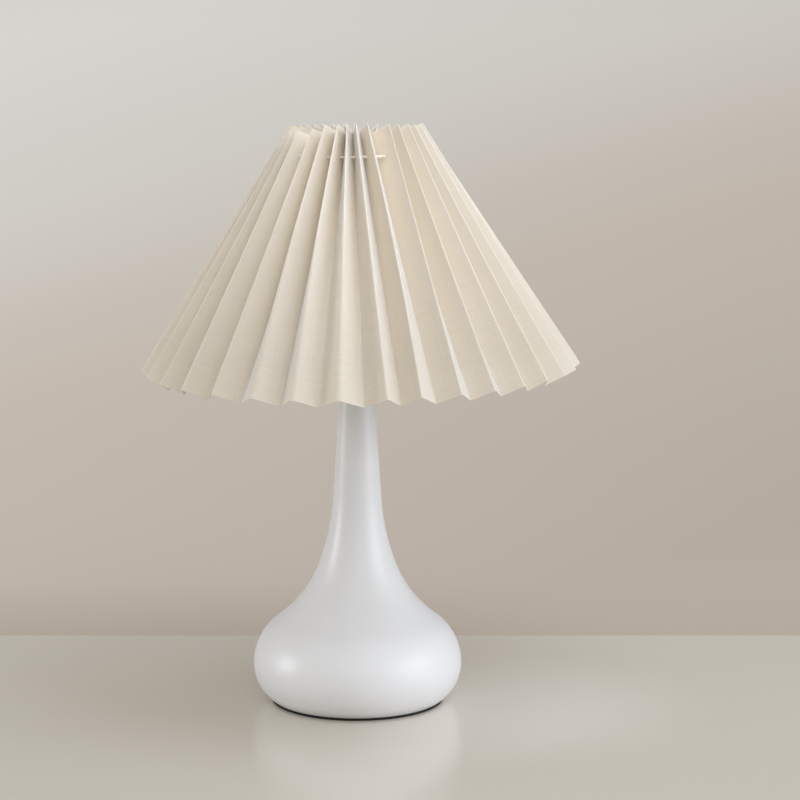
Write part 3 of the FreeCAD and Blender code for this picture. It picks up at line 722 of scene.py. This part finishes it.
def buildShadeRing(plan):
    flange, low, top = sizeOf("shade_ring")
    floor = low + plan["flangeHeight"]
    grip, soft = plan["grip"], plan["round"]
    outline = [(plan["bore"], low)] + rounded((flange, low), soft / 2, -90, 0, 3)
    outline += rounded((flange, floor), soft, 0, 90, 4)
    outline += rounded((grip, floor), soft / 2, -90, -180, 3)
    outline += rounded((grip, top), soft, 0, 90, 4)
    outline.append((plan["bore"], top))
    ring = turned("shadeRing", outline, plan["grooves"] * plan["columns"])

    def groove(radius, height, angle):
        if height < floor + soft or radius < grip - soft / 2:
            return 0.0
        return -plan["grooveDepth"] * max(0.0, math.cos(plan["grooves"] * angle)) ** 2

    press(ring, groove)
    finish(ring, ["shade_ring"], 40)


buildCup(cupPlan)
buildBarrel(barrelPlan)
buildScrewShell(shellPlan)
buildShadeRing(ringPlan)
print("lamp holder made")


# Bulb.

capThreadPlan = {"sheet": 0.4, "foot": 9.6, "clear": 0.5, "rim": 3.0}


def buildBulbShell(plan):
    side, low, top = sizeOf("bulb_shell")
    wall = plan["sheet"]
    shoulder = low + (side - plan["foot"]) / 2
    outline = [(plan["foot"] - wall, low), (plan["foot"], low)] + run((side, shoulder), (side, top))
    outline += run((side - wall, top), (side - wall, shoulder + wall)) + [(plan["foot"] - wall, low + wall)]
    shell = turned("bulbShell", outline)
    rollThread(shell, threadPlan, (side - wall - margin, side + margin), shoulder + plan["clear"], top - plan["rim"])
    finish(shell, ["bulb_shell"], 60)


housingPlan = {
    "plug": 12.05,
    "plugLength": 9.0,
    "neck": 14.6,
    "neckRound": 0.5,
    "bulge": 1.6,
    "wall": 1.6,
    "steps": 24,
}
domePlan = {"wall": 1.2, "radius": 30.0, "rows": 22}


# Radius of the housing at a share of its height: the bulged line from its neck to its rim.
def housingRadius(plan, rim, share):
    return plan["neck"] + (rim - plan["neck"]) * share + plan["bulge"] * 4 * share * (1 - share)


def buildHousing(plan, dome):
    _, low, top = sizeOf("bulb_housing")
    wall = plan["wall"]
    centre = sizeOf("bulb_dome")[2] - dome["radius"]
    rim = math.sqrt(dome["radius"] ** 2 - (top - centre) ** 2)
    seat = low + plan["plugLength"]
    outline = [(plan["plug"] - wall, low), (plan["plug"], low), (plan["plug"], seat)]
    outline += rounded((plan["neck"], seat), plan["neckRound"], -90, 0, 3)
    shares = [i / plan["steps"] for i in range(1, plan["steps"])]
    side = [(housingRadius(plan, rim, share), seat + (top - seat) * share) for share in shares]
    outline += side + [(rim, top), (rim - wall, top)]
    outline += [(radius - wall, height) for radius, height in reversed(side)]
    outline.append((plan["plug"] - wall, seat + wall))
    finish(turned("bulbHousing", outline, 128), ["bulb_housing"], 35)


def buildDome(plan):
    _, low, top = sizeOf("bulb_dome")
    radius, wall = plan["radius"], plan["wall"]
    centre = (0, top - radius)
    start = math.degrees(math.asin((low - centre[1]) / radius))
    inner = math.degrees(math.asin((low - centre[1]) / (radius - wall)))
    outline = arc(centre, radius, start, 90, plan["rows"]) + arc(centre, radius - wall, 90, inner, plan["rows"])
    finish(turned("opalDome", outline, 128), ["bulb_dome"], 35)


buildBulbShell(capThreadPlan)
buildHousing(housingPlan, domePlan)
buildDome(domePlan)
print("bulb made")


# Shade. It hangs a little askew on its fitter: leaning, and pushed to the right.

leanPlan = {
    "angle": 1.0,  # degrees, the right side up
    "pivotHeight": 306.2,
    "shift": 2.2,
}


def shadeLean(plan):
    pivot = Matrix.Translation((0, 0, plan["pivotHeight"] * mm))
    turn = Matrix.Rotation(math.radians(-plan["angle"]), 4, "Y")
    return Matrix.Translation((plan["shift"] * mm, 0, 0)) @ pivot @ turn @ pivot.inverted()


leaning = shadeLean(leanPlan)


# A point on the shade; its angle is in degrees to the right of the front.
def shadePoint(angle, radius, height):
    turn = math.radians(angle)
    return Vector((radius * math.sin(turn), -radius * math.cos(turn), height)) * mm


# The pleats. The folds that the front shows have angles of their own, and the rest are even.
pleatPlan = {
    "count": 34,
    "hemRise": 8.2,  # outer folds end this much above the inner folds' lowest point
    "hemInset": 1.4,
    "ridgeTopRadius": 52.8,
    # mm by which the top end of each given outer fold stands higher or lower, and of the others.
    "rimHeights": (-5.0, -5.0, -4.8, -4.0, -1.6, 1.8, 2.5, 2.5, 2.5, 2.5, 1.5, 0.8, 0.3, -0.3, -0.7, -1.0),
    "backRims": (-4.5, -1.5),  # from the right round the back to the left
    "hemDepth": 13.8,
    "topDepth": 18.5,
    "topDrop": 8.5,
    "hemRidges": (-82, -72, -61, -50.5, -39, -27.2, -16.3, -4.6, 7.5, 15.9, 26.4, 36.1, 46, 55.8, 65.5, 75.5),
    "hemValleys": (-77, -66.5, -56.5, -44.7, -33, -21, -10.7, 1.6, 11.6, 21.2, 31.6, 42, 53, 62.3, 70.8),
    "topRidges": (-88.9, -79, -67.5, -57.5, -38.8, -25.8, -14.2, -6.6, 1.1, 10.6, 29.9, 38.8, 51, 60, 71.5, 81.5),
    "ridgeSoftness": {3: 2.0, 4: 2.0, 5: 4.0, 6: 5.0, 7: 4.5, 8: 2.5},  # mm of rounding at the hem, by ridge
    "valleySoftness": {6: 5.0, 7: 2.0},
    "ridgeBow": {5: -2.0, 6: -2.0, 9: 2.0},  # mm sideways at half height, to the right
    "crease": 0.7,  # mm of rounding at the crispest fold
    "cup": 0.35,  # mm by which a panel is hollow or full
    "cupChange": (0.7, 2.1, 3.0),  # how fast that changes from panel to panel and up a panel, and its seed
    "thickness": 0.55,
    "rows": 44,
    "bendSteps": 4,
    "panelSteps": 3,
    "lap": 0.45,  # share of a panel that the glued seam overlaps
    "lapGap": 0.7,
    "valleyRise": 0.4,  # inner folds start this much above the cover's lowest point
    "softFade": 0.8,  # how fast the hem's rounding is gone up the fold
    "bendLimit": 0.42,  # largest share of a panel that a bend takes
    "smooth": 50,
}


# Angles of all the folds of a kind: the given ones, then even steps round the back.
def evenRound(given, count):
    rest = count - len(given)
    step = (given[0] + 360 - given[-1]) / (rest + 1)
    return list(given) + [given[-1] + step * (i + 1) for i in range(rest)]


def between(angles, i):
    following = angles[i + 1] if i + 1 < len(angles) else angles[0] + 360
    return (angles[i] + following) / 2


def shadeFolds(plan):
    coverRadius, hem, top = sizeOf("pleated_cover")
    count = plan["count"]
    hemRidges, topRidges = evenRound(plan["hemRidges"], count), evenRound(plan["topRidges"], count)
    rims = list(plan["rimHeights"])
    rest = count - len(rims)
    right, left = plan["backRims"]
    rims += [right + (left - right) * max(0.0, 2 * i / rest - 1) for i in range(rest)]
    folds = []
    hemRadius = coverRadius - plan["hemInset"]
    for i in range(count):
        sideways = shadePoint(hemRidges[i] + 90, 1, 0)
        folds.append({
            "hem": shadePoint(hemRidges[i], hemRadius, hem + plan["hemRise"]),
            "top": shadePoint(topRidges[i], plan["ridgeTopRadius"], top + rims[i]),
            "soft": plan["ridgeSoftness"].get(i, plan["crease"]),
            "bow": sideways * plan["ridgeBow"].get(i, 0.0),
        })
        given = i < len(plan["hemValleys"])
        hemAngle = plan["hemValleys"][i] if given else between(hemRidges, i)
        folds.append({
            "hem": shadePoint(hemAngle, hemRadius - plan["hemDepth"], hem + plan["valleyRise"]),
            "top": shadePoint(between(topRidges, i), plan["ridgeTopRadius"] - plan["topDepth"],
                              top - plan["topDrop"] + (rims[i] + rims[(i + 1) % count]) / 2),
            "soft": plan["valleySoftness"].get(i, plan["crease"]),
            "bow": Vector((0, 0, 0)),
        })
    # The sheet starts and ends at the inner fold that is nearest the back.
    back = max(range(1, len(folds), 2), key=lambda i: folds[i]["hem"].y)
    return folds[back:] + folds[:back]


# Corner of one fold at a share of its height.
def foldPoint(fold, share):
    return fold["hem"].lerp(fold["top"], share) + fold["bow"] * math.sin(math.pi * share)


# Points across the sheet at a share of its height, from the seam all the way round to its lap.
def sheetRow(folds, share, plan):
    corners = [foldPoint(fold, share) for fold in folds]
    count = len(corners)
    onwards, upward, seed = plan["cupChange"]
    hemShare = (1 - share) ** plan["softFade"]
    reaches = []
    for i, fold in enumerate(folds):
        before, after = corners[i - 1], corners[(i + 1) % count]
        panel = min((corners[i] - before).length, (after - corners[i]).length)
        soft = plan["crease"] + (fold["soft"] - plan["crease"]) * hemShare
        reaches.append(min(soft * mm, plan["bendLimit"] * panel))
    row = []
    for i in range(count + 1):
        at = i % count
        corner = corners[at]
        before = (corners[at - 1] - corner).normalized() * reaches[at]
        after = (corners[(at + 1) % count] - corner).normalized() * reaches[at]
        for k in range(plan["bendSteps"] + 1):
            t = k / plan["bendSteps"]
            row.append(corner + before * (1 - t) ** 2 + after * t ** 2)
        start = row[-1]
        nextCorner = corners[(at + 1) % count]
        end = nextCorner + (corner - nextCorner).normalized() * reaches[(at + 1) % count]
        if i == count:
            end = start.lerp(end, plan["lap"])
        along = end - start
        fall = foldPoint(folds[at], 0) - foldPoint(folds[at], 1)
        face = along.cross(fall).normalized()
        full = noise.noise(Vector((i * onwards, share * upward, seed))) * plan["cup"] * mm
        for k in range(1, plan["panelSteps"]):
            t = k / plan["panelSteps"]
            row.append(start + along * t + face * full * math.sin(math.pi * t))
        if i == count:
            row.append(end)
    # The lap's end lies behind the first panel.
    lapStart = len(row) - plan["panelSteps"] - plan["bendSteps"] - 1
    for k in range(lapStart, len(row)):
        row[k] = row[k] - face * plan["lapGap"] * mm * min(1.0, (k - lapStart) / plan["bendSteps"])
    return row


def buildShade(plan):
    folds = shadeFolds(plan)
    rows = [sheetRow(folds, i / (plan["rows"] - 1), plan) for i in range(plan["rows"])]
    width = len(rows[0])
    vertices = [point for row in rows for point in row]
    faces = []
    for j in range(plan["rows"] - 1):
        for i in range(width - 1):
            corner = j * width + i
            faces.append((corner, corner + 1, corner + width + 1, corner + width))
    mesh = bpy.data.meshes.new("pleatedShade")
    mesh.from_pydata(vertices, [], faces)
    # The cloth's own map, in metres: across the cut sheet and up it.
    middle = rows[len(rows) // 2]
    across = [0.0]
    for one, two in zip(middle, middle[1:]):
        across.append(across[-1] + (two - one).length)
    height = (foldPoint(folds[1], 1) - foldPoint(folds[1], 0)).length
    layer = mesh.uv_layers.new(name="clothMap")
    for loop in mesh.loops:
        row, column = divmod(loop.vertex_index, width)
        layer.data[loop.index].uv = (across[column], height * row / (plan["rows"] - 1))
    shade = bpy.data.objects.new("pleatedShade", mesh)
    bpy.context.scene.collection.objects.link(shade)
    mesh.transform(leaning)
    applyModifier(shade, "SOLIDIFY", {"thickness": plan["thickness"] * mm, "offset": 0})
    finish(shade, ["pleated_cover"], plan["smooth"])
    print("sheet cut", round(across[-1] / mm), "by", round(height / mm), "mm, columns", width)


# Frame: rings and ribs of enamelled wire under the inner folds, with a weld at each joint.
wirePlan = {
    "wire": 1.5,
    "rib": 1.25,
    "arm": 1.5,
    "ribCount": 6,
    "armAngles": (90.0, 210.0, 330.0),  # from the right-hand side, as the arms in the frame
    "armStart": 23.6,
    "weld": 2.1,
    "seam": 1.785,  # the ring's own butt weld
    "ringSegments": 192,
}


# A straight wire with rounded ends between two points, in metres.
def wire(start, end, radius):
    piece = rod((start + end) / 2, end - start, radius, (end - start).length, 16)
    settle()
    applyModifier(piece, "BEVEL", {"width": radius * 0.4, "segments": 2, "limit_method": "ANGLE"})
    return piece


# A bead of weld, flattened against the ring.
def weld(place, radius):
    bpy.ops.mesh.primitive_uv_sphere_add(segments=14, ring_count=8, radius=radius, location=place)
    bead = bpy.context.object
    bpy.ops.object.mode_set(mode="EDIT")
    bpy.ops.transform.resize(value=(1, 1, 0.75))
    bpy.ops.object.mode_set(mode="OBJECT")
    settle()
    return bead


def ringSize(node, plan):
    low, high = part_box(node)
    return high.x / mm - plan["wire"], (low.z + high.z) / 2 / mm


def ring(name, radius, height, plan):
    bpy.ops.mesh.primitive_torus_add(major_radius=radius * mm, minor_radius=plan["wire"] * mm,
                                     major_segments=plan["ringSegments"], minor_segments=16,
                                     location=(0, 0, height * mm))
    piece = bpy.context.object
    settle()
    seam = weld(Vector((0, radius * mm, height * mm)), plan["seam"] * mm)
    return join(name, [piece, seam])


def buildFrame(plan):
    topRadius, topHeight = ringSize("top_ring", plan)
    lowRadius, lowHeight = ringSize("bottom_ring", plan)
    rings = [ring("shadeTopRing", topRadius, topHeight, plan), ring("shadeBottomRing", lowRadius, lowHeight, plan)]
    ribs, arms = [], []
    for i in range(plan["ribCount"]):
        angle = 90 + 360 * i / plan["ribCount"]
        start, end = shadePoint(angle, topRadius, topHeight), shadePoint(angle, lowRadius, lowHeight)
        ribs += [wire(start, end, plan["rib"] * mm), weld(start, plan["weld"] * mm), weld(end, plan["weld"] * mm)]
    upright = leaning.inverted()
    _, fitterBottom, _ = sizeOf("fitter_ring")
    for angle in plan["armAngles"]:
        start = shadePoint(angle + 90, plan["armStart"], fitterBottom - plan["arm"])
        end = shadePoint(angle + 90, lowRadius, lowHeight)
        arms += [wire(upright @ start, end, plan["arm"] * mm), weld(end, plan["weld"] * mm)]
    pieces = {"top_ring": rings[0], "bottom_ring": rings[1], "frame_ribs": join("shadeRibs", ribs),
              "fitter_arms": join("fitterArms", arms)}
    for node, piece in pieces.items():
        piece.data.transform(leaning)
        finish(piece, [node], 50)


# Gathering cord: three strands laid round a circle, with a knot and two short ends at the back.
cordPlan = {
    "circle": 54.2,
    "radius": 1.2,
    "strand": 0.62,
    "lay": 7.0,  # mm for one turn of the strands
    "strands": 3,
    "stepsPerTurn": 9,
    "knot": 2.1,
    "knotSteps": 48,
    "knotAngle": 176.3,  # in an inner fold at the back
    "tail": 9.0,
    "tailSteps": 6,
}


# Makes a tube along points as a curve, and turns it into a mesh.
def tube(points, radius, closed, sides=3):
    curve = bpy.data.curves.new("tube", "CURVE")
    curve.dimensions = "3D"
    curve.bevel_depth = radius
    curve.bevel_resolution = sides
    curve.use_fill_caps = not closed
    spline = curve.splines.new("POLY")
    spline.points.add(len(points) - 1)
    for item, point in zip(spline.points, points):
        item.co = (*point, 1)
    spline.use_cyclic_u = closed
    piece = bpy.data.objects.new("tube", curve)
    bpy.context.scene.collection.objects.link(piece)
    select(piece)
    bpy.ops.object.convert(target="MESH")
    return bpy.context.object


def buildCord(plan):
    low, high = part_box("gather_cord")
    circle, height = plan["circle"], (low.z + high.z) / 2 / mm
    turns = round(fullTurn * circle / plan["lay"])
    steps = turns * plan["stepsPerTurn"]
    offset = plan["radius"] - plan["strand"]
    pieces = []
    for s in range(plan["strands"]):
        points = []
        for i in range(steps):
            twist = fullTurn * (turns * i / steps + s / plan["strands"])
            points.append(shadePoint(360 * i / steps, circle + offset * math.cos(twist),
                                     height + offset * math.sin(twist)))
        pieces.append(tube(points, plan["strand"] * mm, True))
    middle = shadePoint(plan["knotAngle"], circle, height)
    knot = []
    for i in range(plan["knotSteps"]):
        t = fullTurn * i / plan["knotSteps"]
        swing = Vector((math.sin(t) + 2 * math.sin(2 * t), -math.sin(3 * t) * 1.4, math.cos(t) - 2 * math.cos(2 * t)))
        knot.append(middle + swing * plan["knot"] / 3 * mm)
    pieces.append(tube(knot, plan["strand"] * mm, True))
    for side in (-1, 1):
        end = middle + Vector((side * 1.2, 1.0, -1.5)) * mm
        tail = [end + Vector((side * 1.4 * k, 0.5 * k * math.sin(k), -plan["tail"] / plan["tailSteps"] * k)) * mm
                for k in range(plan["tailSteps"] + 1)]
        pieces.append(tube(tail, plan["strand"] * mm, False))
    cord = join("gatherCord", pieces)
    cord.data.transform(leaning)
    finish(cord, ["gather_cord"], 80)


buildFrame(wirePlan)
buildCord(cordPlan)
buildShade(pleatPlan)
print("shade made")


# Every CAD node gets its finish, also those that only show when the lamp is opened.
for name, node in frame["nodes"].items():
    for slot in node.material_slots:
        slot.material = finishes[slotOfNode[name]]
print("CAD nodes finished")


# Studio: a pale table that turns into a greyer wall tone behind it, two large soft side lights.

studioPlan = {
    "floorSize": 80.0,
    # All lengths in m.
    "edge": 0.204,  # behind the lamp's axis, where the table's tone ends
    "edgeBlur": (0.003, 2.0),  # behind the lamp, and far out to the sides
    "edgeFade": (0.45, 3.0),  # how far to the sides the blur grows
    "reach": 2.2,  # in front of the lamp, where the bands of tone meet
    "nearest": 1.2,
    "tableFar": "#E2DCD0",
    "tableNearShaded": "#DDD7CA",
    "paintedLightPool": "#F3EEE4",  # painted light: a paler pool on the table beside the base
    "paintedPoolMiddle": (0.1, -0.02, 0.0),
    "paintedPoolSpan": (0.2, 0.04),
    "shadedNearShare": -0.36,  # where the table has its near tone, painted a little darker as shade
    # Painted light and shade on the wall: its tones from the far edge of the table up the picture, darker low down
    # and paler high up, each with its place.
    "wall": ((0.0, "#C0B4A8"), (0.25, "#CDC2B7"), (0.48, "#DACDC1"), (0.6, "#E1D9D0"), (0.74, "#EFECE6"),
             (1.0, "#FFFFFC")),
    "paintedShadeFoot": "#B9AEA0",
    "paintedShadeFootShare": 0.08,  # where the painted shade at the wall's foot has faded out
    "paintedWallGlow": 0.2,  # painted light: the wall's tone glows a little of itself
    "paintedLightSlant": 1.1,  # how steeply the tones rise to the right, so that a painted soft shadow lies diagonally across the wall
    "ambient": 0.815,
    "side": (0.3, -0.15, 1.0),  # where the fill comes from
    "sideSpan": (-0.1, 1.0),
    "fillBright": "#FFFFFF",
    "fillDim": "#C4BEB6",
    "backdrop": "#D0CDC7",
    "mirrored": "#8E8A84",  # what glossy surfaces see beyond the floor
    "aim": (0.0, 0.0, 0.1),
    # These low lights leave the floor alone, so it doesn't mirror them in views from the side.
    "notOnFloor": ("windowLeft", "softboxRight"),
    "lights": {
        "windowLeft": {"azimuth": -84, "elevation": 8, "distance": 2.3, "size": (0.8, 0.9), "power": 13.8,
                       "colour": (0.97, 1.0, 1.05)},
        "softboxRight": {"azimuth": 67, "elevation": 12, "distance": 2.3, "size": (1.7, 1.4), "power": 19.7,
                         "colour": (0.92, 1.0, 1.12)},
        "frontFill": {"azimuth": 18, "elevation": 24, "distance": 3.4, "size": (2.4, 2.2), "power": 9,
                      "colour": (1.0, 1.0, 1.0)},
        "nearTop": {"azimuth": 40, "elevation": 68, "distance": 0.75, "size": (0.35, 0.35), "power": 1.25,
                    "colour": (0.96, 1.0, 1.14)},
    },
}


# Semi-matt table top: a soft blurred reflection of what stands on it. Its tones hold painted light and shade: a pale
# pool beside the base, a darker front, and a wall tone behind that is dark at its foot, rises to the right and glows.
def tableTone(plan):
    material, tree, surface = startMaterial("semiMattTableTop", {"Roughness": 0.22, "IOR": 1.7})
    where = addNode(tree, "TexCoord")
    parts = addNode(tree, "SeparateXYZ", links={"Vector": where.outputs["Object"]})
    x, y, edge, reach = parts.outputs["X"], parts.outputs["Y"], plan["edge"], plan["reach"]
    # The edge is crisp behind the lamp and fades out to both sides.
    aside = addNode(tree, "Math", {"operation": "ABSOLUTE"}, {0: x})
    limits = dict(zip(("From Min", "From Max", "To Min", "To Max"), plan["edgeFade"] + plan["edgeBlur"]))
    fade = addNode(tree, "MapRange", limits, {"Value": aside})
    past = addNode(tree, "Math", {"operation": "SUBTRACT", 1: edge}, {0: y})
    blurred = addNode(tree, "Math", {"operation": "DIVIDE"}, {0: past, 1: fade})
    behind = addNode(tree, "MapRange", {"From Min": -1.0, "From Max": 1.0}, {"Value": blurred})
    # Even steps of 1 / (y + reach) are straight bands across the floor, which crowd together far off.
    onwards = addNode(tree, "Math", {"operation": "ADD", 1: reach}, {0: y})
    depth = addNode(tree, "Math", {"operation": "MAXIMUM", 1: plan["nearest"]}, {0: onwards})

    def bands(paintedLightSlant):
        across = addNode(tree, "Math", {"operation": "MULTIPLY_ADD", 1: paintedLightSlant, 2: edge + reach}, {0: x})
        share = addNode(tree, "Math", {"operation": "DIVIDE"}, {0: across, 1: depth})
        return addNode(tree, "Math", {"operation": "SUBTRACT", 0: 1.0}, {1: share})

    # Painted light and shade: the wall's tones run from dark low down to pale high up, slanted to the right.
    height = bands(0.0)
    ramp = addNode(tree, "ValToRGB", links={"Fac": bands(plan["paintedLightSlant"])})
    stops = ramp.color_ramp.elements
    while len(stops) < len(plan["wall"]):
        stops.new(0.5)
    for stop, (place, code) in zip(stops, plan["wall"]):
        stop.position = place
        stop.color = linear(code)
    # Painted shade: the wall turns darker at its foot, where it meets the table.
    foot = addNode(tree, "MapRange", {"From Min": 0.0, "From Max": plan["paintedShadeFootShare"]}, {"Value": height})
    wall = addNode(tree, "Mix", {"data_type": "RGBA", 6: linear(plan["paintedShadeFoot"])}, {0: foot, 7: ramp})
    # Painted shade: the table turns a little darker towards the front.
    near = addNode(tree, "MapRange", {"From Min": 0.0, "From Max": plan["shadedNearShare"]}, {"Value": height})
    table = addNode(tree, "Mix", {"data_type": "RGBA", 6: linear(plan["tableFar"]), 7: linear(plan["tableNearShaded"])},
                    {0: near})
    # Painted light: a pool of paler tone on the table beside the base.
    spread = addNode(tree, "VectorMath", {"operation": "DISTANCE", 1: plan["paintedPoolMiddle"]},
                     {0: where.outputs["Object"]})
    outer, inner = plan["paintedPoolSpan"]
    paintedPoolMask = addNode(tree, "MapRange", {"interpolation_type": "SMOOTHSTEP", "From Min": outer, "From Max": inner},
                   {"Value": spread.outputs["Value"]})
    paintedPoolTone = addNode(tree, "Mix", {"data_type": "RGBA", 7: linear(plan["paintedLightPool"])},
                     {0: paintedPoolMask, 6: table.outputs[2]})
    tones = addNode(tree, "Mix", {"data_type": "RGBA"}, {0: behind, 6: paintedPoolTone.outputs[2], 7: wall.outputs[2]})
    # Painted light: the wall's tones also glow a little, though the wall is no lamp.
    paintedGlow = addNode(tree, "Math", {"operation": "MULTIPLY", 1: plan["paintedWallGlow"]}, {0: behind})
    tree.links.new(tones.outputs[2], surface.inputs["Base Color"])
    tree.links.new(tones.outputs[2], surface.inputs["Emission Color"])
    tree.links.new(paintedGlow.outputs[0], surface.inputs["Emission Strength"])
    return material


def buildStudio(plan):
    bpy.ops.mesh.primitive_plane_add(size=plan["floorSize"])
    floor = bpy.context.object
    floor.name = "floor"
    floor.data.materials.append(tableTone(plan))
    noMirror = bpy.data.collections.new("noMirror")
    noMirror.objects.link(floor)
    noMirror.collection_objects[0].light_linking.link_state = "EXCLUDE"
    for name, light in plan["lights"].items():
        azimuth, elevation = math.radians(light["azimuth"]), math.radians(light["elevation"])
        away = Vector((math.sin(azimuth) * math.cos(elevation), -math.cos(azimuth) * math.cos(elevation),
                       math.sin(elevation)))
        bpy.ops.object.light_add(type="AREA", location=Vector(plan["aim"]) + away * light["distance"],
                                 rotation=away.to_track_quat("Z", "Y").to_euler())
        lamp = bpy.context.object
        lamp.name = name
        lamp.data.shape = "RECTANGLE"
        lamp.data.size, lamp.data.size_y = light["size"]
        lamp.data.energy = light["power"]
        lamp.data.color = light["colour"]
        lamp.visible_camera = False
        if name in plan["notOnFloor"]:
            lamp.light_linking.receiver_collection = noMirror
    world = bpy.data.worlds.new("studioWorld")
    bpy.context.scene.world = world
    world.use_nodes = True
    tree = world.node_tree
    tree.nodes.clear()
    where = addNode(tree, "TexCoord")
    towards = addNode(tree, "VectorMath", {"operation": "DOT_PRODUCT", 1: plan["side"]},
                      {0: where.outputs["Generated"]})
    low, high = plan["sideSpan"]
    ramp = addNode(tree, "MapRange", {"From Min": low, "From Max": high}, {"Value": towards.outputs["Value"]})
    soft = addNode(tree, "Mix", {"data_type": "RGBA", 6: linear(plan["fillDim"]), 7: linear(plan["fillBright"])},
                   {0: ramp})
    fill = addNode(tree, "Background", {"Strength": plan["ambient"]}, {"Color": soft.outputs[2]})
    shown = addNode(tree, "Background", {"Color": linear(plan["backdrop"]), "Strength": 1.0})
    mirrored = addNode(tree, "Background", {"Color": linear(plan["mirrored"]), "Strength": 1.0})
    path = addNode(tree, "LightPath")
    seen = addNode(tree, "Math", {"operation": "MAXIMUM"},
                   {0: path.outputs["Is Camera Ray"], 1: path.outputs["Is Transmission Ray"]})
    lit = addNode(tree, "MixShader", links={0: path.outputs["Is Glossy Ray"], 1: fill, 2: mirrored})
    mixed = addNode(tree, "MixShader", links={0: seen, 1: lit, 2: shown})
    addNode(tree, "OutputWorld", links={"Surface": mixed})
    bpy.context.scene.view_settings.view_transform = "Standard"


buildStudio(studioPlan)
print("studio set")
